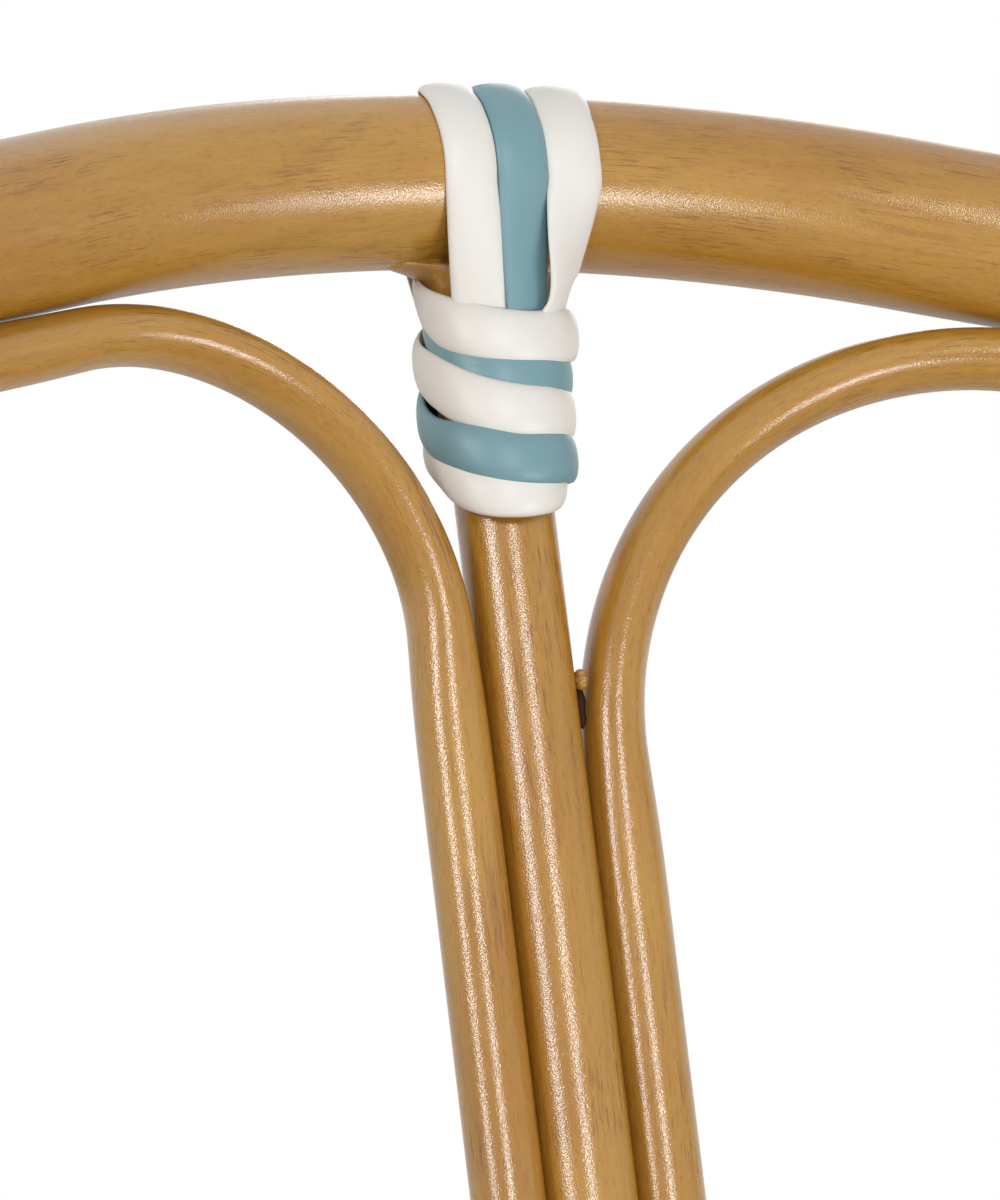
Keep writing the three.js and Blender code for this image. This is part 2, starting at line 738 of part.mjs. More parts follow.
// Back
addPiece('back_hoop', hoopWhole.subtract(blockBelow(capFloor + clearance)), frameFinish);
addPiece('back_cross_rail', crossWhole.subtract(hoopCutter), frameFinish);
addPiece('back_upright', uprightSolid, frameFinish);
addPiece('back_loop_left', loopSolid(-1, leftLoopBend), frameFinish);
addPiece('back_loop_right', loopSolid(1, rightLoopBend), frameFinish);
addPiece('upright_weld', weldSolid(), weldFinish);
addTopJoint();
addBackBinding();

// Seat
addPiece('seat_ring', ringWhole, frameFinish);
addPiece('seat_bar_front', barSolid(frontBarPlace), frameFinish);
addPiece('seat_bar_rear', barSolid(rearBarPlace), frameFinish);
addPiece('seat_weave', weaveSolid(), whiteFinish);

// Legs, braces and feet
const ringOrder = ['front_left', 'front_right', 'rear_right', 'rear_left'];
const braceNames = ['brace_front', 'brace_right', 'brace_rear', 'brace_left'];
addPiece('front_leg_left', frontLegSolid(legs.front_left), frameFinish);
addPiece('front_leg_right', frontLegSolid(legs.front_right), frameFinish);
ringOrder.forEach((name, i) => {
  const leg = legs[name];
  const next = legs[ringOrder[(i + 1) % ringOrder.length]];
  const previous = legs[ringOrder[(i + ringOrder.length - 1) % ringOrder.length]];
  addPiece(braceNames[i], braceSolid(leg, next), frameFinish);
  addPiece(`foot_cap_${name}`, capSolid(leg), capFinish);
  addLegBinding(`leg_binding_${name}`, leg, [previous, next]);
});

// The origin is the middle of the chair's box, on the floor
const box = new THREE.Box3().setFromObject(chair);
const middle = box.getCenter(new THREE.Vector3());
chair.position.set(-middle.x, -middle.y, 0);
chair.updateMatrixWorld(true);

export default chair;
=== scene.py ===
import bpy
import numpy as np
from mathutils import Matrix, Vector


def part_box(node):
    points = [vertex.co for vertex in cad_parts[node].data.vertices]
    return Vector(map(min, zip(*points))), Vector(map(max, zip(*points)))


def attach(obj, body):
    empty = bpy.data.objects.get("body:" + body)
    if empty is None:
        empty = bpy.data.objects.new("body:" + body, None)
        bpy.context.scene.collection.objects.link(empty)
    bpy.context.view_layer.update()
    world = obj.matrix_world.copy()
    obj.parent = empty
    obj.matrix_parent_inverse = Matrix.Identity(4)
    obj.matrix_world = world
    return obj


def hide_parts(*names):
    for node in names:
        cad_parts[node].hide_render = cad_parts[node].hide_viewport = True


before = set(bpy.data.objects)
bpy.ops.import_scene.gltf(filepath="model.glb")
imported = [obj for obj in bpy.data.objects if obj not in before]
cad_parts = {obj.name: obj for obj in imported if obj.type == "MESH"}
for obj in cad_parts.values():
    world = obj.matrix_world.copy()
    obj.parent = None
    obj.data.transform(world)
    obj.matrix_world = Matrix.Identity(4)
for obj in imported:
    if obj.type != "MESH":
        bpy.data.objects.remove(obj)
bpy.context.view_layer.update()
print("frame loaded:", len(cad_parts), "nodes")

scene = bpy.context.scene
scene.view_settings.view_transform = "Standard"

# the layout of the chair in millimetres, front is -y
seat = {
    "level": 440.0, "frontWidth": 390.0, "rearWidth": 330.0, "front": 200.0, "rear": 177.0,
    "frontCorner": 75.0, "rearCorner": 80.0, "tube": 25.0, "hoopTurn": 30.0,
}
back = {
    "height": 880.0, "tube": 28.6, "lean": 16.4, "bow": 357.0, "apex": 315.0, "flank": 14.0,
    "reach": 212.0, "shoulder": 95.0, "crossShare": 0.752,
}
gap = 0.3  # between pieces that stand beside each other
capFloor = 4.0  # of a foot cap, below the end of its tube

ringMiddle = (seat["rear"] - seat["front"]) / 2
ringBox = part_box("seat_ring")
ringBoxMiddle = 1000 * (ringBox[0].y + ringBox[1].y) / 2
shift = np.array([0.0, ringBoxMiddle - ringMiddle, 0.0])  # from the layout to the frame


def unit(v):  # each row divided by its length
    return v / np.linalg.norm(v, axis=-1, keepdims=True)


def lengthsAlong(path):  # the sum of the steps up to each place
    return np.append(0, np.cumsum(np.linalg.norm(np.diff(path, axis=0), axis=1)))


def evenly(path, step):  # the same line with places a step apart along its length
    length = lengthsAlong(path)
    at = np.linspace(0, length[-1], int(np.ceil(length[-1] / step)) + 1)
    return np.stack([np.interp(at, length, column) for column in path.T], axis=1)


# the arc that rounds a corner: it starts radius / tan(half) before the corner, and its middle lies
# radius / sin(half) inside it, where half is half of the corner's angle
def bendAt(before, corner, after, radius):
    toBefore, toAfter = unit(before - corner), unit(after - corner)
    half = np.arccos(toBefore @ toAfter) / 2
    start = corner + toBefore * radius / np.tan(half)
    return start, corner + unit(toBefore + toAfter) * radius / np.sin(half), half


arcRows = 90


# straight runs between corners, and in each corner an arc: centre + arm cos(a) + (axis x arm) sin(a)
def bentPath(corners, radii, step):
    corners = np.array(corners, float)
    runs = [corners[:1]]
    for before, corner, after, radius in zip(corners[:-2], corners[1:-1], corners[2:], radii):
        start, centre, half = bendAt(before, corner, after, radius)
        arm = start - centre
        axis = unit(np.cross(corner - before, after - corner))
        turn = np.linspace(0, np.pi - 2 * half, arcRows)[:, None]
        runs.append(centre + arm * np.cos(turn) + np.cross(axis, arm) * np.sin(turn))
    runs.append(corners[-1:])
    return evenly(np.vstack(runs), step)


# a cubic through the knots: at each knot it has the slope between its neighbours
def curveThrough(knots, count):
    place = lengthsAlong(knots[:, :3])
    slope = np.gradient(knots, place, axis=0)
    at = np.linspace(0, place[-1], count)
    i = np.clip(np.searchsorted(place, at, side="right") - 1, 0, len(place) - 2)
    run = (place[i + 1] - place[i])[:, None]
    t = (at - place[i])[:, None] / run
    near, far = knots[i], knots[i + 1]
    bend = (t**3 - 2 * t**2 + t) * run * slope[i] + (t**3 - t**2) * run * slope[i + 1]
    return near + (far - near) * (3 * t**2 - 2 * t**3) + bend


# the back is a sheet that leans and is bowed round a radius of bow; these are its axes at the middle
lean, flank = np.radians(back["lean"]), np.radians(back["flank"])
acrossAxis = np.array([1.0, 0.0, 0.0])
backUp = np.array([0.0, np.sin(lean), np.cos(lean)])
backFront = np.array([0.0, -np.cos(lean), np.sin(lean)])

ringCorners = np.array([
    [seat["frontWidth"] / 2, -seat["front"], seat["level"]],
    [seat["rearWidth"] / 2, seat["rear"], seat["level"]],
    [-seat["rearWidth"] / 2, seat["rear"], seat["level"]],
    [-seat["frontWidth"] / 2, -seat["front"], seat["level"]],
])
ringRadii = np.array([seat["frontCorner"], seat["rearCorner"], seat["rearCorner"], seat["frontCorner"]])
ringCentres = np.array([
    bendAt(ringCorners[i - 1], ringCorners[i], ringCorners[(i + 1) % 4], ringRadii[i])[1] for i in range(4)
])

# the posts stand beside the ring's rear corners, and the sheet lies where they meet it at the seat's level
hoopTurn = np.radians(seat["hoopTurn"])
hoopReach = seat["rearCorner"] + (seat["tube"] + back["tube"]) / 2 + gap
postPlace = ringCentres[1] + hoopReach * np.array([np.cos(hoopTurn), np.sin(hoopTurn), 0])
postAcross = back["bow"] * np.arcsin(postPlace[0] / back["bow"])
postBow = back["bow"] * (1 - np.cos(postAcross / back["bow"]))
railLevel = back["height"] - back["tube"] / 2
postRise = (seat["level"] - railLevel - postBow * backFront[2]) / backUp[2]
railBack = postPlace[1] - postRise * backUp[1] - postBow * backFront[1]
railCentre = np.array([0, railBack, railLevel])
crossRise = back["crossShare"] * postRise
apexRise = back["apex"] * (1 / np.cos(flank) - 1)
shoulderRise = apexRise - back["reach"] * np.tan(flank)
hoopCorners = np.array([
    [-postAcross, postRise, 0], [-back["reach"], shoulderRise, 0], [0, apexRise, 0],
    [back["reach"], shoulderRise, 0], [postAcross, postRise, 0],
])


def inward(across):  # the sheet's own direction to the front: front cos(t) - across sin(t), t = across / bow
    turn = np.asarray(across, float)[..., None] / back["bow"]
    return backFront * np.cos(turn) - acrossAxis * np.sin(turn)


# a place on the leaning, bowed sheet: up by its rise, round the bow by across / bow, and in front of it
def onBack(across, rise, front=0.0):
    across, rise, front = np.broadcast_arrays(*(np.asarray(v, float) for v in (across, rise, front)))
    turn = across[..., None] / back["bow"]
    bowed = acrossAxis * np.sin(turn) + backFront * (1 - np.cos(turn))
    return railCentre + backUp * rise[..., None] + back["bow"] * bowed + inward(across) * front[..., None]


def besideBack(*place):  # a place in straight axes from the middle of the rail: across, rise and front
    across, rise, front = (np.asarray(v, float)[..., None] for v in place)
    return railCentre + acrossAxis * across + backUp * rise + backFront * front


def smoothStep(t):  # 3t^2 - 2t^3 between 0 and 1
    t = np.clip(t, 0, 1)
    return t * t * (3 - 2 * t)


def gridQuads(rows, columns, closed=False):  # quads between neighbouring rings, each ring closed
    i = np.arange(rows if closed else rows - 1)[:, None]
    j = np.arange(columns)[None, :]
    here, there = i * columns, (i + 1) % rows * columns
    beside = (j + 1) % columns
    return np.stack([here + j, there + j, there + beside, here + beside], axis=-1).reshape(-1, 4)


# a grid's first and last ring closed by triangles to the mean of its places
def closeEnds(points, grain, columns):
    first, last = len(points), len(points) - columns
    points, grain = (np.vstack([v, v[:columns].mean(axis=0), v[last:].mean(axis=0)]) for v in (points, grain))
    j = np.arange(columns)
    beside = (j + 1) % columns
    opening = np.stack([np.full(columns, first), j, beside], axis=1)
    ending = np.stack([np.full(columns, first + 1), last + beside, last + j], axis=1)
    return points, np.vstack([opening, ending]), grain


# whole arrays of places in millimetres and of faces as a mesh; grain is where each place reads its finish
def meshFrom(name, points, quads, triangles, grain):
    mesh = bpy.data.meshes.new(name)
    mesh.vertices.add(len(points))
    mesh.vertices.foreach_set("co", ((points + shift) / 1000).astype(np.float32).ravel())
    corners = np.concatenate([quads.ravel(), triangles.ravel()]).astype(np.int32)
    totals = np.concatenate([np.full(len(quads), 4), np.full(len(triangles), 3)])
    mesh.loops.add(len(corners))
    mesh.loops.foreach_set("vertex_index", corners)
    mesh.polygons.add(len(totals))
    mesh.polygons.foreach_set("loop_start", np.concatenate([[0], np.cumsum(totals)[:-1]]))
    mesh.polygons.foreach_set("use_smooth", np.ones(len(totals), bool))
    mesh.update(calc_edges=True)
    mesh.validate()
    layer = mesh.attributes.new("grain", "FLOAT_VECTOR", "POINT")
    layer.data.foreach_set("vector", (grain / 1000).astype(np.float32).ravel())
    return mesh


made = {"count": 0}


# a surface (places, quads, triangles, grain) as one piece of the only body
def addPiece(name, surface, finish, nodes):
    mesh = meshFrom(name, *surface)
    piece = bpy.data.objects.new(name, mesh)
    scene.collection.objects.link(piece)
    mesh.materials.append(finish)
    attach(piece, "root")
    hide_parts(*nodes)
    made["count"] += 1


grainStep = 137.0  # no two pieces show the same stretch of grain


# a section carried along a path: place + side u + out v, with side = along x lead and out = side x along
def sweep(path, lead, section, closed=False):
    if closed:
        along = unit(np.roll(path, -1, axis=0) - np.roll(path, 1, axis=0))
    else:
        along = unit(np.gradient(path, axis=0))
    side = unit(np.cross(along, np.broadcast_to(lead, path.shape)))
    out = np.cross(side, along)
    points = path[:, None] + side[:, None] * section[..., :1] + out[:, None] * section[..., 1:]
    rows, columns = section.shape[:2]
    length = lengthsAlong(path) + made["count"] * grainStep
    grain = np.dstack([section, np.repeat(length[:, None], columns, axis=1)])
    points, grain = points.reshape(-1, 3), grain.reshape(-1, 3)
    triangles = np.zeros((0, 3), int)
    if not closed:
        points, triangles, grain = closeEnds(points, grain, columns)
    return points, gridQuads(rows, columns, closed), triangles, grain


def roundSection(width, depth, sides):  # at each place an oval: (width cos(a), depth sin(a))
    turn = np.linspace(0, 2 * np.pi, sides, endpoint=False)
    return np.stack([width[:, None] * np.cos(turn), depth[:, None] * np.sin(turn)], axis=-1)


edgeRows = 6


# a tube whose ends are rounded over by an edge: radius - edge (1 - sin k), place + edge (1 - cos k)
def tube(name, path, lead, width, finish, slot, nodes, depth=None, sides=44, edge=1.0, closed=False):
    depth = width if depth is None else depth
    width, depth = (np.broadcast_to(np.asarray(v, float), len(path)) for v in (width, depth))
    lead = np.broadcast_to(lead, path.shape)
    if not closed:
        k = np.linspace(0, np.pi / 2, edgeRows)
        opening, ending = unit(path[1] - path[0]), unit(path[-2] - path[-1])
        reach, loss = edge * (1 - np.cos(k))[:, None], edge * (1 - np.sin(k))
        path = np.vstack([path[0] + opening * reach, path[1:-1], (path[-1] + ending * reach)[::-1]])
        first, last = (np.repeat(v, edgeRows, axis=0) for v in (lead[:1], lead[-1:]))
        lead = np.vstack([first, lead[1:-1], last])
        width, depth = (np.concatenate([v[0] - loss, v[1:-1], (v[-1] - loss)[::-1]]) for v in (width, depth))
    addPiece(name, sweep(path, lead, roundSection(width, depth, sides), closed), finish, nodes)


# a strip's edge and foot are shares of its thickness and width, and so are its size at an end
stripShape = {
    "columns": 13, "power": 2.1, "edge": 0.12, "foot": [-0.485, -0.25, 0.25, 0.485],
    "taper": 2.0, "endWidth": 0.8, "endThickness": 0.35, "sinkRun": 8.0,
}


# a section one wide and one thick: flat inside, outside a rounded dome edge + (1 - edge) (1 - |2x|^p)^(1/p)
def stripSection():
    x = np.cos(np.linspace(0, np.pi, stripShape["columns"]))
    dome = (1 - np.abs(x) ** stripShape["power"]) ** (1 / stripShape["power"])
    top = np.stack([x / 2, stripShape["edge"] + (1 - stripShape["edge"]) * dome], axis=1)
    foot = np.stack([stripShape["foot"], np.zeros(len(stripShape["foot"]))], axis=1)
    return np.vstack([top, foot])


# a strip along a path with its outside to lead: its size is end + (1 - end) sqrt(q (2 - q)), where q grows
# from 0 at an end to 1 a taper away, and both ends sink in
def strip(path, lead, width, thickness, sink=0.0):
    length = lengthsAlong(path)
    toEnd = np.minimum(length, length[-1] - length)
    q = np.clip(toEnd / stripShape["taper"], 0, 1)
    share = np.sqrt(q * (2 - q))
    path = path - unit(lead) * (sink * (1 - smoothStep(toEnd / stripShape["sinkRun"])))[:, None]
    width = width * (stripShape["endWidth"] + (1 - stripShape["endWidth"]) * share)
    thickness = thickness * (stripShape["endThickness"] + (1 - stripShape["endThickness"]) * share)
    return sweep(path, lead, stripSection() * np.stack([width, thickness], axis=-1)[:, None])


def joined(parts):  # several surfaces as one, each one's faces counted on from the places before it
    points, quads, triangles, grain = zip(*parts)
    offsets = np.cumsum([0] + [len(v) for v in points[:-1]])
    quads, triangles = ([v + offset for v, offset in zip(faces, offsets)] for faces in (quads, triangles))
    return [np.vstack(v) for v in (points, quads, triangles, grain)]


def colour(red, green, blue):  # a screen colour of 0 to 255 as linear light
    share = np.array([red, green, blue]) / 255
    linear = np.where(share <= 0.04045, share / 12.92, ((share + 0.055) / 1.055) ** 2.4)
    return (*linear.tolist(), 1.0)


class Finish:
    # a material with short ways to add and join nodes
    def __init__(self, name):
        self.material = bpy.data.materials.new(name)
        self.material.use_nodes = True
        self.tree = self.material.node_tree
        self.shader = self.tree.nodes["Principled BSDF"]

    def node(self, kind, settings=None, **inputs):  # an input goes by its name, or by i and its number
        node = self.tree.nodes.new("ShaderNode" + kind)
        for key, value in (settings or {}).items():
            setattr(node, key, value)
        for key, value in inputs.items():
            self.feed(node.inputs[int(key[1:]) if key[1:].isdigit() else key.replace("_", " ")], value)
        return node

    def feed(self, socket, value):  # a link from another node, or a plain value
        if isinstance(value, bpy.types.NodeSocket):
            self.tree.links.new(value, socket)
        else:
            socket.default_value = value

    # noise in the piece's grain; a row is its waves per metre across and along, detail, roughness and warp
    def noise(self, row, where=None):
        across, along, detail, roughness, warp = row[:5]
        if where is None:
            where = self.node("Attribute", {"attribute_name": "grain"}).outputs["Vector"]
        waves = self.node("VectorMath", {"operation": "MULTIPLY"}, i0=where, i1=(across, across, along))
        look = {"Scale": 1.0, "Detail": detail, "Roughness": roughness, "Distortion": warp}
        return self.node("TexNoise", Vector=waves.outputs[0], **look).outputs["Fac"]

    def ramp(self, value, row):  # 0 below the row's sixth number, 1 above its seventh, smooth between
        smooth = {"interpolation_type": "SMOOTHSTEP"}
        return self.node("MapRange", smooth, Value=value, From_Min=row[5], From_Max=row[6]).outputs["Result"]

    def maths(self, operation, first, second):  # one sum with two values
        return self.node("Math", {"operation": operation}, i0=first, i1=second).outputs[0]

    def times(self, first, second):  # first x second
        return self.maths("MULTIPLY", first, second)

    def plus(self, first, second):  # first + second
        return self.maths("ADD", first, second)

    def mix(self, share, first, second):  # first (1 - share) + second share
        return self.node("Mix", {"data_type": "RGBA"}, i0=share, i6=first, i7=second).outputs[2]

    def bump(self, height, strength, distance, before=None):  # the normal tilted by the height's slope
        node = self.node("Bump", Strength=strength, Distance=distance, Height=height)
        if before is not None:
            self.feed(node.inputs["Normal"], before)
        return node.outputs["Normal"]

    def close(self, base, roughness, normal):  # the three looks joined to the shader
        self.feed(self.shader.inputs["Base Color"], base)
        self.feed(self.shader.inputs["Roughness"], roughness)
        self.feed(self.shader.inputs["Normal"], normal)
        return self.material


grainLook = {
    "honey": colour(179, 133, 52), "amber": colour(167, 117, 38), "pale": colour(191, 146, 70),
    "streak": colour(102, 48, 10), "stain": colour(138, 78, 26),
    "share": {"veil": 0.26, "streak": 0.52, "dash": 0.26, "darkest": 0.75, "stain": 0.42},
    "roughness": 0.2, "roughSpread": 0.12, "ior": 1.64, "peelBump": (0.24, 0.0002),
}
grainRows = {
    "band": [60, 11, 3.0, 0.55, 0.4, 0.35, 0.65],
    "veil": [420, 60, 5.0, 0.65, 0.0, 0.46, 0.74],
    "fine": [3700, 150, 2.0, 0.55, 0.25, 0.53, 0.65],
    "patch": [75, 34, 4.0, 0.62, 0.8, 0.46, 0.62],
    "dash": [2600, 520, 2.0, 0.5, 0.2, 0.48, 0.76],
    "line": [900, 44, 3.0, 0.6, 0.3, 0.44, 0.68],
    "field": [50, 17, 3.0, 0.5, 1.2, 0.5, 0.66],
}
peelRow = [3300, 3300, 1.0, 0.5, 0.0]


# printed cane grain: honey and amber bands under a pale veil, short dashes, patches of streaks along the tube
# and longer soft stains in fewer places; a fine orange peel roughens the coat
def makeCaneGrain(name, marked=1.0):
    finish = Finish(name)
    share = grainLook["share"]
    seen = {key: finish.ramp(finish.noise(row), row) for key, row in grainRows.items()}
    base = finish.mix(seen["band"], grainLook["amber"], grainLook["honey"])
    base = finish.mix(finish.times(seen["veil"], share["veil"]), base, grainLook["pale"])
    streaks = finish.times(finish.times(seen["fine"], seen["patch"]), share["streak"] * marked)
    marks = finish.plus(streaks, finish.times(seen["dash"], share["dash"] * marked))
    base = finish.mix(finish.maths("MINIMUM", marks, share["darkest"]), base, grainLook["streak"])
    stain = finish.times(seen["line"], seen["field"])
    base = finish.mix(finish.times(stain, share["stain"] * marked), base, grainLook["stain"])
    peel, spread = finish.noise(peelRow), grainLook["roughSpread"]
    rough = finish.plus(finish.times(peel, spread), grainLook["roughness"] - spread / 2)
    finish.shader.inputs["IOR"].default_value = grainLook["ior"]
    return finish.close(base, rough, finish.bump(peel, *grainLook["peelBump"]))


stripLook = {
    "drawn": [1400, 24, 3.0, 0.5, 0.0], "cloud": [90, 30, 3.0, 0.5, 0.0, 0.4, 0.7],
    "speck": [700, 500, 2.0, 0.6, 0.0, 0.62, 0.78], "share": {"cloud": 0.3, "speck": 0.25},
    "roughness": 0.42, "roughSpread": 0.14, "drawnBump": (0.22, 0.00012), "cloudBump": (0.12, 0.0006),
}


# moulded strip: an even colour with faint lengthwise drawing marks and a little dust in the hollows
def makeStripFinish(name, tone, shade):
    finish = Finish(name)
    share, spread = stripLook["share"], stripLook["roughSpread"]
    drawn, cloud, speck = (finish.noise(stripLook[key]) for key in ("drawn", "cloud", "speck"))
    base = finish.mix(finish.times(finish.ramp(cloud, stripLook["cloud"]), share["cloud"]), tone, shade)
    base = finish.mix(finish.times(finish.ramp(speck, stripLook["speck"]), share["speck"]), base, shade)
    normal = finish.bump(cloud, *stripLook["cloudBump"], finish.bump(drawn, *stripLook["drawnBump"]))
    rough = finish.plus(finish.times(drawn, spread), stripLook["roughness"] - spread / 2)
    return finish.close(base, rough, normal)


mattLook = {
    "fine": [1800, 1800, 2.0, 0.5, 0.0], "scuff": [160, 60, 4.0, 0.6, 0.0, 0.55, 0.75], "share": 0.4,
    "roughness": 0.55, "scuffRough": 0.15, "mirror": 0.15, "fineBump": (0.3, 0.00015),
}


# a dark matt brown with a fine grain and paler scuffs: moulded rubber, and painted shade on the root lump in
# the pit beside the weld
def makeMatt(name, tone, pale):
    finish = Finish(name)
    scuff = finish.ramp(finish.noise(mattLook["scuff"]), mattLook["scuff"])
    base = finish.mix(finish.times(scuff, mattLook["share"]), tone, pale)
    rough = finish.plus(finish.times(scuff, mattLook["scuffRough"]), mattLook["roughness"])
    finish.shader.inputs["Specular IOR Level"].default_value = mattLook["mirror"]
    return finish.close(base, rough, finish.bump(finish.noise(mattLook["fine"]), *mattLook["fineBump"]))


caneGrain = makeCaneGrain("cane_grain")
stripFinish = {
    "white": makeStripFinish("white_strip", colour(225, 222, 216), colour(208, 204, 198)),
    "blue": makeStripFinish("blue_strip", colour(114, 150, 159), colour(96, 132, 142)),
}
capRubber = makeMatt("cap_rubber", colour(58, 44, 32), colour(92, 76, 60))
# the root's dark brown is painted shade: a dark spindle deep in the gap below the bead, where the pit lies in
# shade
weldFinish = {
    "bead": makeCaneGrain("weld_paint", 0.5),
    "root": makeMatt("weld_pit_painted_shade", colour(50, 24, 8), colour(70, 36, 14)),
}
print("finishes made")

rearLeg = {"run": 70.0, "spread": 15.0, "splay": 82.0, "bendRows": 6, "straightRows": 9}


def rearLegKnots(side):  # a quadratic bend B(t) at the seat, then a straight line to the floor
    corner, bendTop = onBack(side * postAcross, [postRise, postRise + rearLeg["run"]])
    foot = np.array([corner[0] + side * rearLeg["spread"], corner[1] + rearLeg["splay"], 0])
    bendFoot = corner + unit(foot - corner) * rearLeg["run"]
    t = np.linspace(0, 1, rearLeg["bendRows"])[:, None]
    bend = bendTop * (1 - t) ** 2 + corner * 2 * t * (1 - t) + bendFoot * t**2
    straight = bendFoot + (foot - bendFoot) * np.linspace(0, 1, rearLeg["straightRows"])[1:, None]
    return np.vstack([bend, straight]), corner, foot


hoop = {"step": 6.0, "clear": 1.3, "rows": 1100, "sides": 56}


# arch, posts and rear legs in one tube: a cubic runs through the bent line on the sheet, which ends clear of
# the legs' bends, and through both legs' knots down to the caps' floors
def makeHoop():
    flat = bentPath(hoopCorners, [back["shoulder"], back["apex"], back["shoulder"]], hoop["step"])
    flat = flat[flat[:, 1] > postRise + hoop["clear"] * rearLeg["run"]]
    left, right = rearLegKnots(-1)[0], rearLegKnots(1)[0]
    knots = np.vstack([left[::-1], onBack(flat[:, 0], flat[:, 1]), right])
    across = np.concatenate([np.full(len(left), -postAcross), flat[:, 0], np.full(len(right), postAcross)])
    both = curveThrough(np.hstack([knots, inward(across)]), hoop["rows"])
    both = both[both[:, 2] > capFloor + gap]
    place, lead = both[:, :3], both[:, 3:]
    tube("hoop", place, lead, back["tube"] / 2, caneGrain, "frame", ["back_hoop"], sides=hoop["sides"])


makeHoop()

upright = {
    "radius": 8.0, "flare": 8.5, "flareTop": 14.6, "flareFall": 1.2, "thin": 0.55,
    "step": 3.0, "fineStep": 0.4, "fineRun": 24.0,
}


# a straight tube with a lip at the rail: width r + flare t, depth r (1 - thin t), t = exp(-distance / fall)
def makeUpright():
    coarse = np.arange(crossRise, -upright["fineRun"], upright["step"])
    rise = np.concatenate([coarse, np.arange(-upright["fineRun"], 0, upright["fineStep"])])
    lip = np.exp(-np.maximum(-rise - upright["flareTop"], 0) / upright["flareFall"])
    width = upright["radius"] + upright["flare"] * lip
    depth = upright["radius"] * (1 - upright["thin"] * lip)
    tube("upright", onBack(0, rise), backFront, width, caneGrain, "frame", ["back_upright"], depth)


makeUpright()

loops = {
    "radius": 6.0, "after": 0.09, "clear": 0.1, "step": 1.6, "smooth": 31, "sides": 40,
    "left": {"bend": 49.0, "flat": 0.2}, "right": {"bend": 65.0, "flat": 0.17},
}
loopAcross = upright["radius"] + loops["radius"]
loopInset = back["tube"] / 2 + loops["radius"] * (1 - loops["after"]) + loops["clear"]
apexInset = bendAt(*hoopCorners[1:4], loopInset)[1]
shoulderInset = bendAt(*hoopCorners[2:5], loopInset)[1]


# up beside the upright, outward in a bend, on under the arch and down inside the post, all an inset from them
def loopPath(side, bend):
    postLine = hoopCorners[4] - hoopCorners[3]
    outerFoot = shoulderInset + postLine * (shoulderInset[1] - crossRise) / -postLine[1]
    innerTop = apexInset + (shoulderInset - apexInset) * loopAcross / shoulderInset[0]
    corners = [[loopAcross, crossRise, 0], innerTop, shoulderInset, outerFoot]
    flat = bentPath(corners, [bend, back["shoulder"] - loopInset], loops["step"])
    return side * flat[:, 0], flat[:, 1]


# width r (1 - thin) and depth r (1 + thin / 3), where thin is flat in a bend and after past the first bend
def makeLoop(name, side):
    loop = loops[name]
    across, rise = loopPath(side, loop["bend"])
    path = onBack(across, rise)
    turning = np.linalg.norm(np.gradient(unit(np.gradient(path, axis=0)), axis=0), axis=1)
    window = np.hanning(loops["smooth"])
    bent = np.clip(np.convolve(turning / turning.max(), window / window.sum(), mode="same"), 0, 1)
    past = np.maximum.accumulate(bent)
    thin = loop["flat"] * bent + loops["after"] * past * (1 - bent)
    width, depth = loops["radius"] * (1 - thin), loops["radius"] * (1 + thin / 3)
    node, sides = "back_loop_" + name, loops["sides"]
    tube("loop_" + name, path, inward(across), width, caneGrain, "frame", [node], depth, sides)


makeLoop("left", -1)
makeLoop("right", 1)

crossRail = {"radius": 8.0, "rows": 220}


def makeCrossRail():  # on the sheet from post to post, at the rise where the loops and the upright end
    down = (shoulderRise - crossRise) / (shoulderRise - postRise)
    end = hoopCorners[3] + (hoopCorners[4] - hoopCorners[3]) * down
    across = np.linspace(-end[0], end[0], crossRail["rows"])
    path, lead = onBack(across, end[1]), inward(across)
    tube("cross_rail", path, lead, crossRail["radius"], caneGrain, "frame", ["back_cross_rail"])


makeCrossRail()

# each lump: drop below the rail, half length, radius, stand-off from the tubes' middles, and how far across
weld = {"bead": [84.8, 1.8, 1.15, 3.3, 0.3], "root": [88.0, 4.6, 0.95, 1.6, 0.35]}
weldShape = {"rows": 40, "reach": 0.995, "ripple": 0.1, "ripples": 9, "sides": 24, "edge": 0.02}


# the root lump is a dark spindle of painted shade in the gap below the bead
def makeWeld():  # two eggs with soft ripples: r sqrt(1 - t^2) (1 + ripple cos(ripples t))
    t = np.linspace(-weldShape["reach"], weldShape["reach"], weldShape["rows"])
    ripple = 1 + weldShape["ripple"] * np.cos(weldShape["ripples"] * t)
    look = {"sides": weldShape["sides"], "edge": weldShape["edge"]}
    for name, (drop, length, radius, stand, across) in weld.items():
        path = onBack(upright["radius"] + across, -drop + length * t, stand)
        girth = radius * np.sqrt(1 - t**2) * ripple
        tube("weld_" + name, path, backFront, girth, weldFinish[name], "weld", ["upright_weld"], **look)


makeWeld()
print("back tubes made")

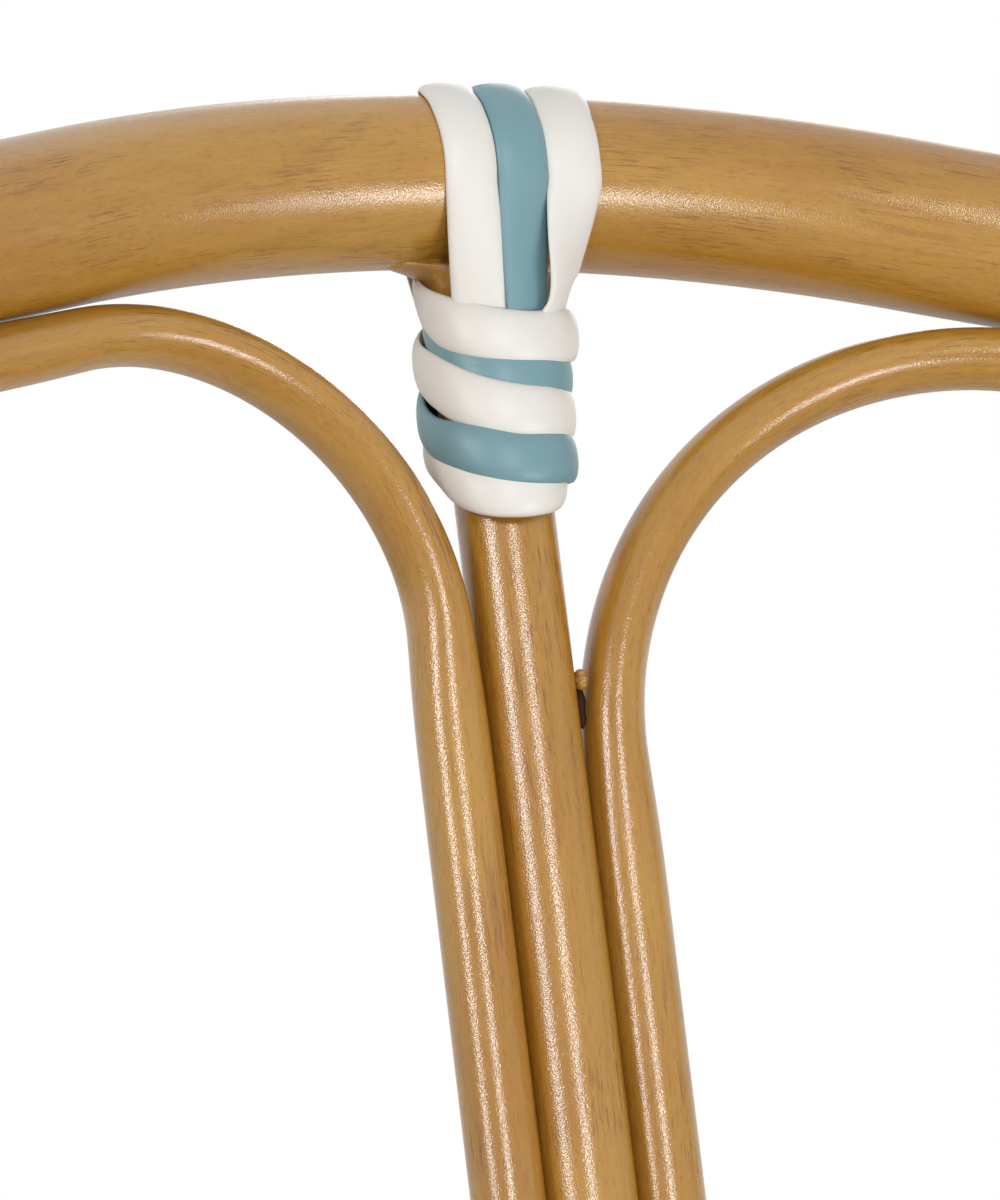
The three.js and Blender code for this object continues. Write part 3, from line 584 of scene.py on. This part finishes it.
# three strips over the rail; across is a strip's place at each of the angles round the rail from its front,
# and a tail's rows are its turns round the upright, drops below the rail and stand-offs from the upright
straps = {
    "width": {"left": 9.1, "centre": 9.1, "right": 9.8}, "thickness": 1.6, "lift": 0.1,
    "leave": 16.0, "railRows": 28, "rows": 420, "angles": [-16, 0, 30, 59, 90, 105, 135, 180, 196],
    "left": {
        "across": [-5.4, -5.4, -5.4, -4.9, -1.7, -1.3, -1.6, -2.6, -2.8],
        "front": [[-26, 54, 0.1], [-26, 44, 0.1], [-26, 34, 0.1], [-26, 26.5, 0.3]],
        "rear": [[-165, 26.5, 0.2], [-165, 34, 0.1], [-165, 43, 0.1]]},
    "centre": {
        "across": [3.7, 3.65, 3.8, 4.3, 6.5, 7.1, 7.2, 6.5, 6.2],
        "front": [[26, 54, 0.1], [26, 44, 0.1], [25, 34, 0.5], [24, 26.5, 1.3]],
        "rear": [[150, 26.5, 0.2], [150, 34, 0.1], [150, 43, 0.1]]},
    "right": {
        "across": [12.8, 12.7, 12.9, 14.1, 16.8, 17.5, 17.2, 15.8, 15.2],
        "front": [
            [70, 54, 0.1], [66, 44, 0.3], [58, 34, 1.2], [51, 26.5, 2.1], [49, 23.8, 4.0], [43, 18.7, 6.8]],
        "rear": [[107, 26.5, 1.0], [106, 34, 0.3], [105, 43, 0.1]]},
}


# knots up the upright, straight and taut to the rail, round it and down again: a cubic goes through them
def strapPath(strap):
    radius = back["tube"] / 2 + straps["lift"]
    angle = np.linspace(-straps["leave"], 180 + straps["leave"], straps["railRows"])
    across = np.interp(angle, straps["angles"], strap["across"])
    turn = np.radians(angle)
    arch = np.sqrt(back["apex"] ** 2 - across**2) - back["apex"]
    outRise, outFront = np.sin(turn), np.cos(turn)
    rail = np.stack([across, arch + radius * outRise, radius * outFront, 0 * turn, outRise, outFront], axis=1)

    def tail(rows):  # across r sin(turn) and front r cos(turn) at each drop
        way, drop, stand = np.array(rows).T
        way, reach = np.radians(way), upright["radius"] + stand
        outAcross, outFront = np.sin(way), np.cos(way)
        return np.stack([reach * outAcross, -drop, reach * outFront, outAcross, 0 * way, outFront], axis=1)

    def run(start, end):  # the quarters of the straight line
        return start + (end - start) * np.array([[0.25], [0.5], [0.75]])

    front, rear = tail(strap["front"]), tail(strap["rear"])
    knots = np.vstack([front, run(front[-1], rail[0]), rail, run(rail[-1], rear[0]), rear])
    both = curveThrough(knots, straps["rows"])
    return besideBack(*both[:, :3].T), both[:, 3:] @ np.array([acrossAxis, backUp, backFront])


def makeStraps():  # each strip's outside faces away from the rail and the upright
    for name, tone in (("left", "white"), ("centre", "blue"), ("right", "white")):
        surface = strip(*strapPath(straps[name]), straps["width"][name], straps["thickness"])
        addPiece("strap_" + name, surface, stripFinish[tone], ["rail_strap_" + name])


makeStraps()

# each knot: the way round from the front in degrees, the rise of the strip's middle, its outer radius and its
# width; the white strip starts tipped out by lip, because it lies on the upright's flare there
topCoil = {
    "thickness": 1.9, "girth": 12.0, "rowsPerKnot": 30,
    "lip": {"white": 0.3, "blue": 0.0}, "lipEnd": -40.0, "lipRun": 0.9,
    "white": [
        [-135, -16.0, 10.0, 7.6], [-113, -19.3, 10.4, 8.0], [-90, -22.1, 10.7, 8.2], [-45, -26.9, 11.8, 8.7],
        [-12, -29.1, 12.4, 9.0], [24, -29.6, 13.4, 8.9], [60, -28.0, 15.1, 8.7], [90, -25.9, 15.6, 8.4],
        [135, -23.0, 13.6, 8.1], [180, -23.2, 12.4, 8.0], [225, -27.7, 12.0, 7.8], [247, -30.3, 12.0, 7.7],
        [270, -32.9, 12.0, 7.7], [291, -35.8, 12.2, 7.9], [311, -38.6, 12.4, 8.5], [331, -40.6, 12.7, 8.8],
        [355, -41.9, 12.9, 8.9], [405, -41.4, 13.2, 8.9], [450, -38.9, 13.4, 8.6], [495, -36.6, 13.0, 8.2],
        [540, -37.0, 12.8, 8.0], [585, -42.4, 12.0, 6.2], [607, -45.1, 12.0, 6.0], [630, -47.8, 12.0, 6.0],
        [644, -49.9, 12.0, 6.3], [661, -52.8, 12.0, 7.0], [678, -54.4, 12.0, 7.8], [711, -55.1, 11.8, 8.9],
        [734, -54.5, 11.6, 8.7], [750, -53.7, 11.2, 8.2], [766, -52.9, 10.8, 7.0], [785, -51.9, 10.5, 5.2],
        [802, -51.3, 10.1, 3.4]],
    "blue": [
        [-118, -22.8, 9.4, 6.0], [-90, -25.8, 10.2, 6.4], [-68, -29.4, 10.6, 7.6], [-45, -32.4, 10.9, 8.4],
        [0, -35.6, 11.9, 8.7], [45, -35.1, 13.1, 8.7], [90, -32.5, 13.8, 8.4], [135, -29.8, 12.9, 8.0],
        [180, -30.0, 12.4, 8.0], [225, -36.1, 12.4, 6.8], [247, -39.7, 12.4, 6.3], [270, -42.9, 12.5, 6.3],
        [283, -44.5, 12.6, 6.9], [315, -47.5, 12.6, 8.5], [347, -49.9, 12.8, 8.7], [407, -48.6, 12.9, 8.7],
        [450, -46.7, 12.6, 8.5], [495, -44.4, 12.3, 8.0], [540, -43.8, 12.1, 8.0], [575, -45.8, 11.0, 7.0]],
}


# a winding: across R sin(f), front R cos(f), with the rise, R and the width cubic through the knots
def coilPath(name):
    knots = np.array(topCoil[name])
    along = np.radians(knots[:, :1]) * topCoil["girth"]
    both = curveThrough(np.hstack([along, 0 * along, 0 * along, knots]), topCoil["rowsPerKnot"] * len(knots))
    turn, rise, outer, width = both[:, 3:].T
    turn, radius = np.radians(turn), outer - topCoil["thickness"]
    path = besideBack(radius * np.sin(turn), rise, radius * np.cos(turn))
    lead = acrossAxis * np.sin(turn)[:, None] + backFront * np.cos(turn)[:, None]
    tip = topCoil["lip"][name] * smoothStep((np.radians(topCoil["lipEnd"]) - turn) / topCoil["lipRun"])
    return path, unit(lead - backUp * tip[:, None]), width


def makeTopCoil():  # the two strips of the double winding, each with its own width along the way
    for name in ("white", "blue"):
        surface = strip(*coilPath(name), topCoil["thickness"])
        addPiece("coil_" + name, surface, stripFinish[name], ["top_coil_" + name])


makeTopCoil()
print("top joint made")


# the ring's centre line at its nearest to places on the seat, the way out there and how far out they lie: on
# a straight run, whose outside is to the right, or on an arc, for places within it
def besideRing(x, y):
    best = np.full(x.shape, np.inf)
    near, outward = np.zeros((*x.shape, 2)), np.zeros((*x.shape, 2))
    place = np.stack([x, y], axis=-1)
    for i in range(4):
        following = (i + 1) % 4
        corner, centre, radius = ringCorners[i, :2], ringCentres[i, :2], ringRadii[i]
        toNext, fromLast = unit(ringCorners[following, :2] - corner), unit(corner - ringCorners[i - 1, :2])
        side = np.array([toNext[1], -toNext[0]])
        start, end = centre + side * radius, ringCentres[following, :2] + side * ringRadii[following]
        along = np.clip((place - start) @ toNext, 0, (end - start) @ toNext)
        foot = start + along[..., None] * toNext
        fromCentre = place - centre
        far = np.linalg.norm(fromCentre, axis=-1)
        way = fromCentre / np.maximum(far, 1e-6)[..., None]  # safe at the centre itself
        within = (fromCentre @ toNext <= 0) & (fromCentre @ fromLast >= 0)
        runAway = np.linalg.norm(place - foot, axis=-1)
        arcAway = np.where(within, np.abs(far - radius), np.inf)
        for away, spot, out in ((runAway, foot, side), (arcAway, centre + way * radius, way)):
            closer = (away < best)[..., None]
            best = np.minimum(away, best)
            near, outward = np.where(closer, spot, near), np.where(closer, out, outward)
    return near, outward, ((place - near) * outward).sum(axis=-1)


ringStep = 3.0


def ringPath():  # the rounded outline, from the middle of the rear
    middle = (ringCorners[1] + ringCorners[2]) / 2
    corners = [middle, ringCorners[2], ringCorners[3], ringCorners[0], ringCorners[1], middle]
    return bentPath(corners, [ringRadii[2], ringRadii[3], ringRadii[0], ringRadii[1]], ringStep)[:-1]


tube("ring_tube", ringPath(), (0, 0, 1.0), seat["tube"] / 2, caneGrain, "frame", ["seat_ring"], closed=True)

bars = {"radius": 8.0, "places": {"front": -65.0, "rear": 65.0}, "under": 6.5, "rows": 120, "sides": 32}


# straight across, as long as the ring is wide there, and a gap below the weave, which is under above the level
def makeBars():
    radius, sides = bars["radius"], bars["sides"]
    level = seat["level"] + bars["under"] - gap - radius
    for name, place in bars["places"].items():
        y = ringMiddle + place
        share = (y + seat["front"]) / (seat["front"] + seat["rear"])
        reach = seat["frontWidth"] / 2 + (seat["rearWidth"] - seat["frontWidth"]) / 2 * share
        x = np.linspace(-reach, reach, bars["rows"])
        path = np.stack([x, np.full(len(x), y), np.full(len(x), level)], axis=1)
        tube("bar_" + name, path, (0, 0, 1.0), radius, caneGrain, "frame", ["seat_bar_" + name], sides=sides)


makeBars()

frontLeg = {
    "radius": 14.3, "turn": 60.0, "spread": 13.0, "splay": 10.0, "drop": 9.0, "step": 3.0, "edge": 2.2,
}


def frontLegEnds(side):  # the top is turn round the ring's front corner; the foot spreads and splays from it
    turn = np.radians(frontLeg["turn"])
    reach = ringCentres[0, 0] + seat["frontCorner"] * np.cos(turn)
    top = np.array([side * reach, ringCentres[0, 1] - seat["frontCorner"] * np.sin(turn), seat["level"]])
    return top, top + np.array([side * frontLeg["spread"], -frontLeg["splay"], -seat["level"]])


def atLevel(top, foot, level):  # on the line from top to foot at a level
    return top + (foot - top) * (top[2] - level) / (top[2] - foot[2])


legs = {
    "front_left": frontLegEnds(-1), "front_right": frontLegEnds(1),
    "rear_right": rearLegKnots(1)[1:], "rear_left": rearLegKnots(-1)[1:],
}
order = ["front_left", "front_right", "rear_right", "rear_left"]


def makeFrontLegs():  # each runs straight from inside the ring to the floor of its cap
    for name in order[:2]:
        ends = [atLevel(*legs[name], level) for level in (seat["level"] - frontLeg["drop"], capFloor + gap)]
        path, node = evenly(np.array(ends), frontLeg["step"]), name.replace("front_", "front_leg_")
        radius, edge = frontLeg["radius"], frontLeg["edge"]
        tube("leg_" + name, path, (0, -1.0, 0), radius, caneGrain, "frame", [node], edge=edge)


makeFrontLegs()

braces = {"radius": 8.0, "foot": 150.0, "corner": 75.0, "step": 2.5, "sides": 36, "edge": 1.6}
braceTop = seat["level"] - seat["tube"] / 2 - braces["radius"] - gap


def braceSide(name, other, level):  # beside a leg, on the side of the next leg, both radii and a gap from it
    place = atLevel(*legs[name], level)
    return place + unit(atLevel(*legs[other], level) - place) * (frontLeg["radius"] + braces["radius"] + gap)


def makeBraces():  # up one leg, across below the ring and down the next leg, with two bends
    look = {"sides": braces["sides"], "edge": braces["edge"]}
    for i, title in enumerate(["front", "right", "rear", "left"]):
        name, other = order[i], order[(i + 1) % 4]
        corners = np.array([
            braceSide(name, other, braces["foot"]), braceSide(name, other, braceTop),
            braceSide(other, name, braceTop), braceSide(other, name, braces["foot"])])
        path = bentPath(corners, [braces["corner"]] * 2, braces["step"])
        lead = unit(np.cross(corners[3] - corners[0], [0, 0, 1.0]))
        tube("arch_" + title, path, lead, braces["radius"], caneGrain, "frame", ["brace_" + title], **look)


makeBraces()
print("seat ring, legs and arches made")

# the profile's rows are a radius and a level, from the underside up the outside and into the mouth
caps = {
    "height": 26.0, "sides": 48,
    "profile": [
        [14.8, 0], [16.0, 0.25], [16.75, 1.0], [17.0, 2.4], [17.0, 4.2], [16.65, 4.8], [16.65, 5.6],
        [17.0, 6.2], [17.0, 21.4], [16.9, 22.8], [16.5, 24.4], [15.8, 25.5], [15.1, 25.9], [14.4, 25.6],
        [14.0, 23.5]],
}


# the profile turned round the leg, each ring moved along with it and tilted square to it towards the mouth
def makeCap(name):
    top, foot = legs[name]
    turn = np.linspace(0, 2 * np.pi, caps["sides"], endpoint=False)
    slant = ((foot - top) / (foot - top)[2])[:2]
    radius, level = np.array(caps["profile"]).T[..., None]
    flat = np.stack([np.cos(turn), np.sin(turn)], axis=1)[None] * radius[..., None]
    z = level - smoothStep(level / caps["height"]) * (flat @ slant)
    centre = top[:2] + slant * (level[..., None] - top[2])
    points = np.dstack([centre + flat, z]).reshape(-1, 3)
    grain = np.dstack([flat, np.broadcast_to(level, z.shape)]).reshape(-1, 3)
    points, triangles, grain = closeEnds(points, grain, caps["sides"])
    surface = points, gridQuads(*z.shape)[:, ::-1], triangles[:, ::-1], grain
    addPiece("cap_" + name, surface, capRubber, ["foot_cap_" + name])


for legName in order:
    makeCap(legName)

binding = {
    "width": 7.0, "thickness": 1.9, "turns": 2.0, "pitch": 14.0, "legRise": 46.0, "backRise": 48.0,
    "lift": 0.1, "sink": 1.2, "ways": 1441, "rows": 360, "every": 2,
}


# the outline of a tight wrap round members (across, front, radius): for each way out, the member that reaches
# furthest gives its centre + radius times that way; the line is then divided evenly
def wrapOutline(members):
    turn = np.linspace(0, 2 * np.pi, binding["ways"]) - np.pi / 2
    way = np.stack([np.cos(turn), np.sin(turn)], axis=1)
    members = np.array(members)
    best = np.argmax(way @ members[:, :2].T + members[:, 2], axis=1)
    line = np.hstack([members[best, :2] + way * members[best, 2:], way])
    length = lengthsAlong(line[:, :2])
    at = np.linspace(0, length[-1], binding["rows"] + 1)
    return np.stack([np.interp(at, length, column) for column in line.T], axis=1)[:-1]


def wrapStrip(origin, right, front, up, members, drop):  # down by the pitch for each time round
    count = binding["rows"]
    step = np.arange(int(binding["turns"] * count) + 1)
    place = wrapOutline(members)[-step % count]
    out = right * place[:, 2:3] + front * place[:, 3:4]
    path = origin + right * place[:, :1] + front * place[:, 1:2] + unit(out) * binding["lift"]
    path = path - up * (drop + binding["pitch"] * step / count)[:, None]
    every = binding["every"]
    return strip(path[::every], out[::every], binding["width"], binding["thickness"], binding["sink"])


def addBinding(name, origin, right, front, up, members, drop):  # blue half a pitch below white
    for tone, extra in (("white", 0.0), ("blue", binding["pitch"] / 2)):
        surface = wrapStrip(origin, right, front, up, members, drop + extra)
        node = ("back_binding_" if name == "back" else "leg_binding_" + name + "_") + tone
        addPiece("wrap_" + name + "_" + tone, surface, stripFinish[tone], [node])


def makeBindings():  # round the upright and loops at their feet, and round each leg and the arches beside it
    members = [[0, 0, upright["radius"]], [-loopAcross, 0, loops["radius"]], [loopAcross, 0, loops["radius"]]]
    addBinding("back", onBack(0, crossRise), acrossAxis, backFront, backUp, members, -binding["backRise"])
    for i, name in enumerate(order):
        top, foot = legs[name]
        level = braces["foot"] + binding["legRise"]
        origin, up = atLevel(top, foot, level), unit(top - foot)
        front = unit(np.array([0, -1.0, 0]) + up * up[1])
        right = -np.cross(up, front)
        members = [[0, 0, frontLeg["radius"]]]
        for other in (order[i - 1], order[(i + 1) % 4]):
            offset = braceSide(name, other, level) - origin
            members.append([offset @ right, offset @ front, braces["radius"]])
        addBinding(name, origin, right, front, up, members, 0.0)


makeBindings()
print("bindings made")

# the section is a flat oval, in shares of the strip's width and of half its thickness
weave = {
    "pitch": 9.0, "width": 8.3, "thickness": 1.5, "wave": 0.85, "middle": 14.4, "dish": 3.4, "dishRun": 60.0,
    "hem": 138.0, "samples": 200, "blueEvery": 7, "reach": 260.0, "lineRows": 521, "least": 12,
    "most": 28, "grainStep": 31,
    "section": [[-0.5, 0], [-0.42, 0.62], [-0.15, 1.0], [0.15, 1.0], [0.42, 0.62], [0.5, 0], [0.42, -0.8],
                [-0.42, -0.8]],
}


# a place of the flat weave laid on the seat: over the ring it rolls down round the tube by distance / radius,
# inside it dips by dish (1 - exp(-(distance / run)^2)); height is measured square to that surface
def laidOnSeat(x, y, height):
    near, outward, out = besideRing(x, y)
    angle = np.maximum(out, 0) / weave["middle"]
    radius = weave["middle"] + height
    dip = weave["dish"] * (1 - np.exp(-(np.minimum(out, 0) / weave["dishRun"]) ** 2))
    flat = near + outward * (np.where(out > 0, radius * np.sin(angle), out))[..., None]
    z = seat["level"] + np.where(out > 0, radius * np.cos(angle), radius - dip)
    return np.concatenate([flat, z[..., None]], axis=-1)


# each strip runs from hem to hem, over and under by cos(pi distance / pitch), and is a flat oval in section
def makeStrips(alongX, chosen):
    hem = np.radians(weave["hem"]) * weave["middle"]
    line = np.linspace(-weave["reach"], weave["reach"], weave["lineRows"])
    place = np.broadcast_arrays(line[None, :], chosen[:, None] * weave["pitch"])
    x, y = place if alongX else place[::-1]
    inside = besideRing(x, y + ringMiddle)[2] < hem
    keep = inside.sum(axis=1) > weave["least"]
    chosen, inside = chosen[keep], inside[keep]
    first, last = line[inside.argmax(axis=1)], line[-1 - inside[:, ::-1].argmax(axis=1)]
    u = first[:, None] + (last - first)[:, None] * np.linspace(0, 1, weave["samples"])[None, :]
    section = np.array(weave["section"]) * [weave["width"], weave["thickness"] / 2]
    sign = np.where(chosen % 2 == 0, 1.0, -1.0)[:, None] * (1.0 if alongX else -1.0)
    wave = sign * weave["wave"] * np.cos(np.pi * u / weave["pitch"])
    height = wave[..., None] + section[:, 1]
    u = np.broadcast_to(u[..., None], height.shape)
    side = np.broadcast_to((chosen * weave["pitch"])[:, None, None] + section[:, 0], height.shape)
    x, y = (u, side + ringMiddle) if alongX else (side, u + ringMiddle)
    points = laidOnSeat(x, y, height)
    count, rows, columns = height.shape
    ring = np.arange(1, columns - 1)
    fan = np.stack([np.zeros_like(ring), ring, ring + 1], axis=1)
    fans = np.vstack([fan, fan[:, ::-1] + (rows - 1) * columns])

    def forAll(faces):  # one strip's faces for every strip, turned over where the strips run along x
        faces = faces[:, ::-1] if alongX else faces
        offsets = np.arange(count) * rows * columns
        return (faces[None] + offsets[:, None, None]).reshape(-1, faces.shape[1])

    depth = np.broadcast_to(section[:, 1], side.shape)
    grain = np.stack([side, depth, u + side * weave["grainStep"]], axis=-1)
    return points.reshape(-1, 3), forAll(gridQuads(rows, columns)), forAll(fans), grain.reshape(-1, 3)


def makeWeave():  # every seventh strip each way is blue
    numbers = np.arange(-weave["most"], weave["most"] + 1)
    blue = numbers % weave["blueEvery"] == 0
    pieces = {
        "weave_white_across": (makeStrips(True, numbers[~blue]), "white"),
        "weave_white_along": (makeStrips(False, numbers[~blue]), "white"),
        "weave_blue": (joined([makeStrips(True, numbers[blue]), makeStrips(False, numbers[blue])]), "blue"),
    }
    for name, (surface, tone) in pieces.items():
        addPiece(name, surface, stripFinish[tone], ["seat_weave"])


makeWeave()
print("seat woven:", made["count"], "pieces in all")

stage = {
    "floor": 14.0, "world": 0.42, "tones": (colour(236, 236, 235), colour(240, 240, 239)),
    "cloud": [3.0, 3.0, 3.0, 0.5, 0.0], "roughness": 0.75, "bump": (0.02, 0.01),
}


def makeFloor():  # a wide square at the feet's level, clouded by noise in its own coordinates
    half = stage["floor"] / 2
    corners = [(-half, -half, 0), (half, -half, 0), (half, half, 0), (-half, half, 0)]
    mesh = bpy.data.meshes.new("floor")
    mesh.from_pydata(corners, [], [(0, 1, 2, 3)])
    floor = bpy.data.objects.new("floor", mesh)
    scene.collection.objects.link(floor)
    finish = Finish("pale_floor")
    cloud = finish.noise(stage["cloud"], finish.node("TexCoord").outputs["Object"])
    base = finish.mix(cloud, *stage["tones"])
    mesh.materials.append(finish.close(base, stage["roughness"], finish.bump(cloud, *stage["bump"])))


# white to the camera and in mirrors and glass, and only as strong as world where it lights the chair
def makeWorld():
    world = bpy.data.worlds.new("studio")
    world.use_nodes = True
    scene.world = world
    nodes, links = world.node_tree.nodes, world.node_tree.links
    background = nodes["Background"]
    background.inputs["Color"].default_value = (1, 1, 1, 1)
    path = nodes.new("ShaderNodeLightPath")
    seen = path.outputs["Is Camera Ray"]
    for kind in ("Is Glossy Ray", "Is Transmission Ray"):
        either = nodes.new("ShaderNodeMath")
        either.operation = "MAXIMUM"
        links.new(seen, either.inputs[0])
        links.new(path.outputs[kind], either.inputs[1])
        seen = either.outputs[0]
    level = nodes.new("ShaderNodeMapRange")
    level.inputs["To Min"].default_value = stage["world"]
    level.inputs["To Max"].default_value = 1.0
    links.new(seen, level.inputs["Value"])
    links.new(level.outputs["Result"], background.inputs["Strength"])


# each lamp lies in a direction from the top joint, far away in metres, and faces it; size is width and height
lamps = {
    "left_panel": {"way": (-0.87, -0.33, 0.36), "far": 3.0, "size": (0.6, 0.9), "power": 25.0},
    "front_panel": {"way": (-0.2, -0.87, 0.41), "far": 3.0, "size": (0.5, 0.8), "power": 21.0},
    "low_panel": {"way": (0.41, -0.87, -0.25), "far": 2.6, "size": (1.6, 0.32), "power": 24.0},
    "top_panel": {"way": (0.1, 0.35, 0.95), "far": 3.0, "size": (2.2, 2.2), "power": 5.0},
    "rear_panel": {"way": (0.6, 0.8, 0.3), "far": 3.2, "size": (1.5, 1.5), "power": 16.0},
}
topJoint = Vector(((railCentre + shift) / 1000).tolist())


def makeLamps():  # place = joint + way far, with the lamp's back to the way
    for name, lamp in lamps.items():
        light = bpy.data.lights.new(name, "AREA")
        light.shape = "ELLIPSE"
        light.size, light.size_y = lamp["size"]
        light.energy = lamp["power"]
        holder = bpy.data.objects.new(name, light)
        way = Vector(lamp["way"]).normalized()
        holder.location = topJoint + way * lamp["far"]
        holder.rotation_mode = "QUATERNION"
        holder.rotation_quaternion = way.to_track_quat("Z", "Y")
        holder.visible_camera = False
        scene.collection.objects.link(holder)


# the view: turned right of the chair's front and almost level; right and up show the top joint off the middle
view = {
    "turn": 24.19, "climb": 0.466, "far": 2600.0, "right": -5.67, "up": 67.78, "lens": 481.7,
    "sensor": 36.0, "clip": (0.05, 50.0),
}


def makeCamera():  # place = joint - right r - up u - away far, and its axes are right, up and -away
    turn, climb = np.radians(view["turn"]), np.radians(view["climb"])
    away = np.array([np.sin(turn) * np.cos(climb), np.cos(turn) * np.cos(climb), -np.sin(climb)])
    right = np.array([np.cos(turn), -np.sin(turn), 0])
    up = np.cross(right, away)
    place = (railCentre + shift - right * view["right"] - up * view["up"] - away * view["far"]) / 1000
    data = bpy.data.cameras.new("camera")
    data.lens, data.sensor_width = view["lens"], view["sensor"]
    data.clip_start, data.clip_end = view["clip"]
    camera = bpy.data.objects.new("camera", data)
    rows = [[right[i], up[i], -away[i], place[i]] for i in range(3)]
    camera.matrix_world = Matrix([*rows, [0, 0, 0, 1]])
    scene.collection.objects.link(camera)
    scene.camera = camera


makeFloor()
makeWorld()
makeLamps()
makeCamera()
print("stage made")
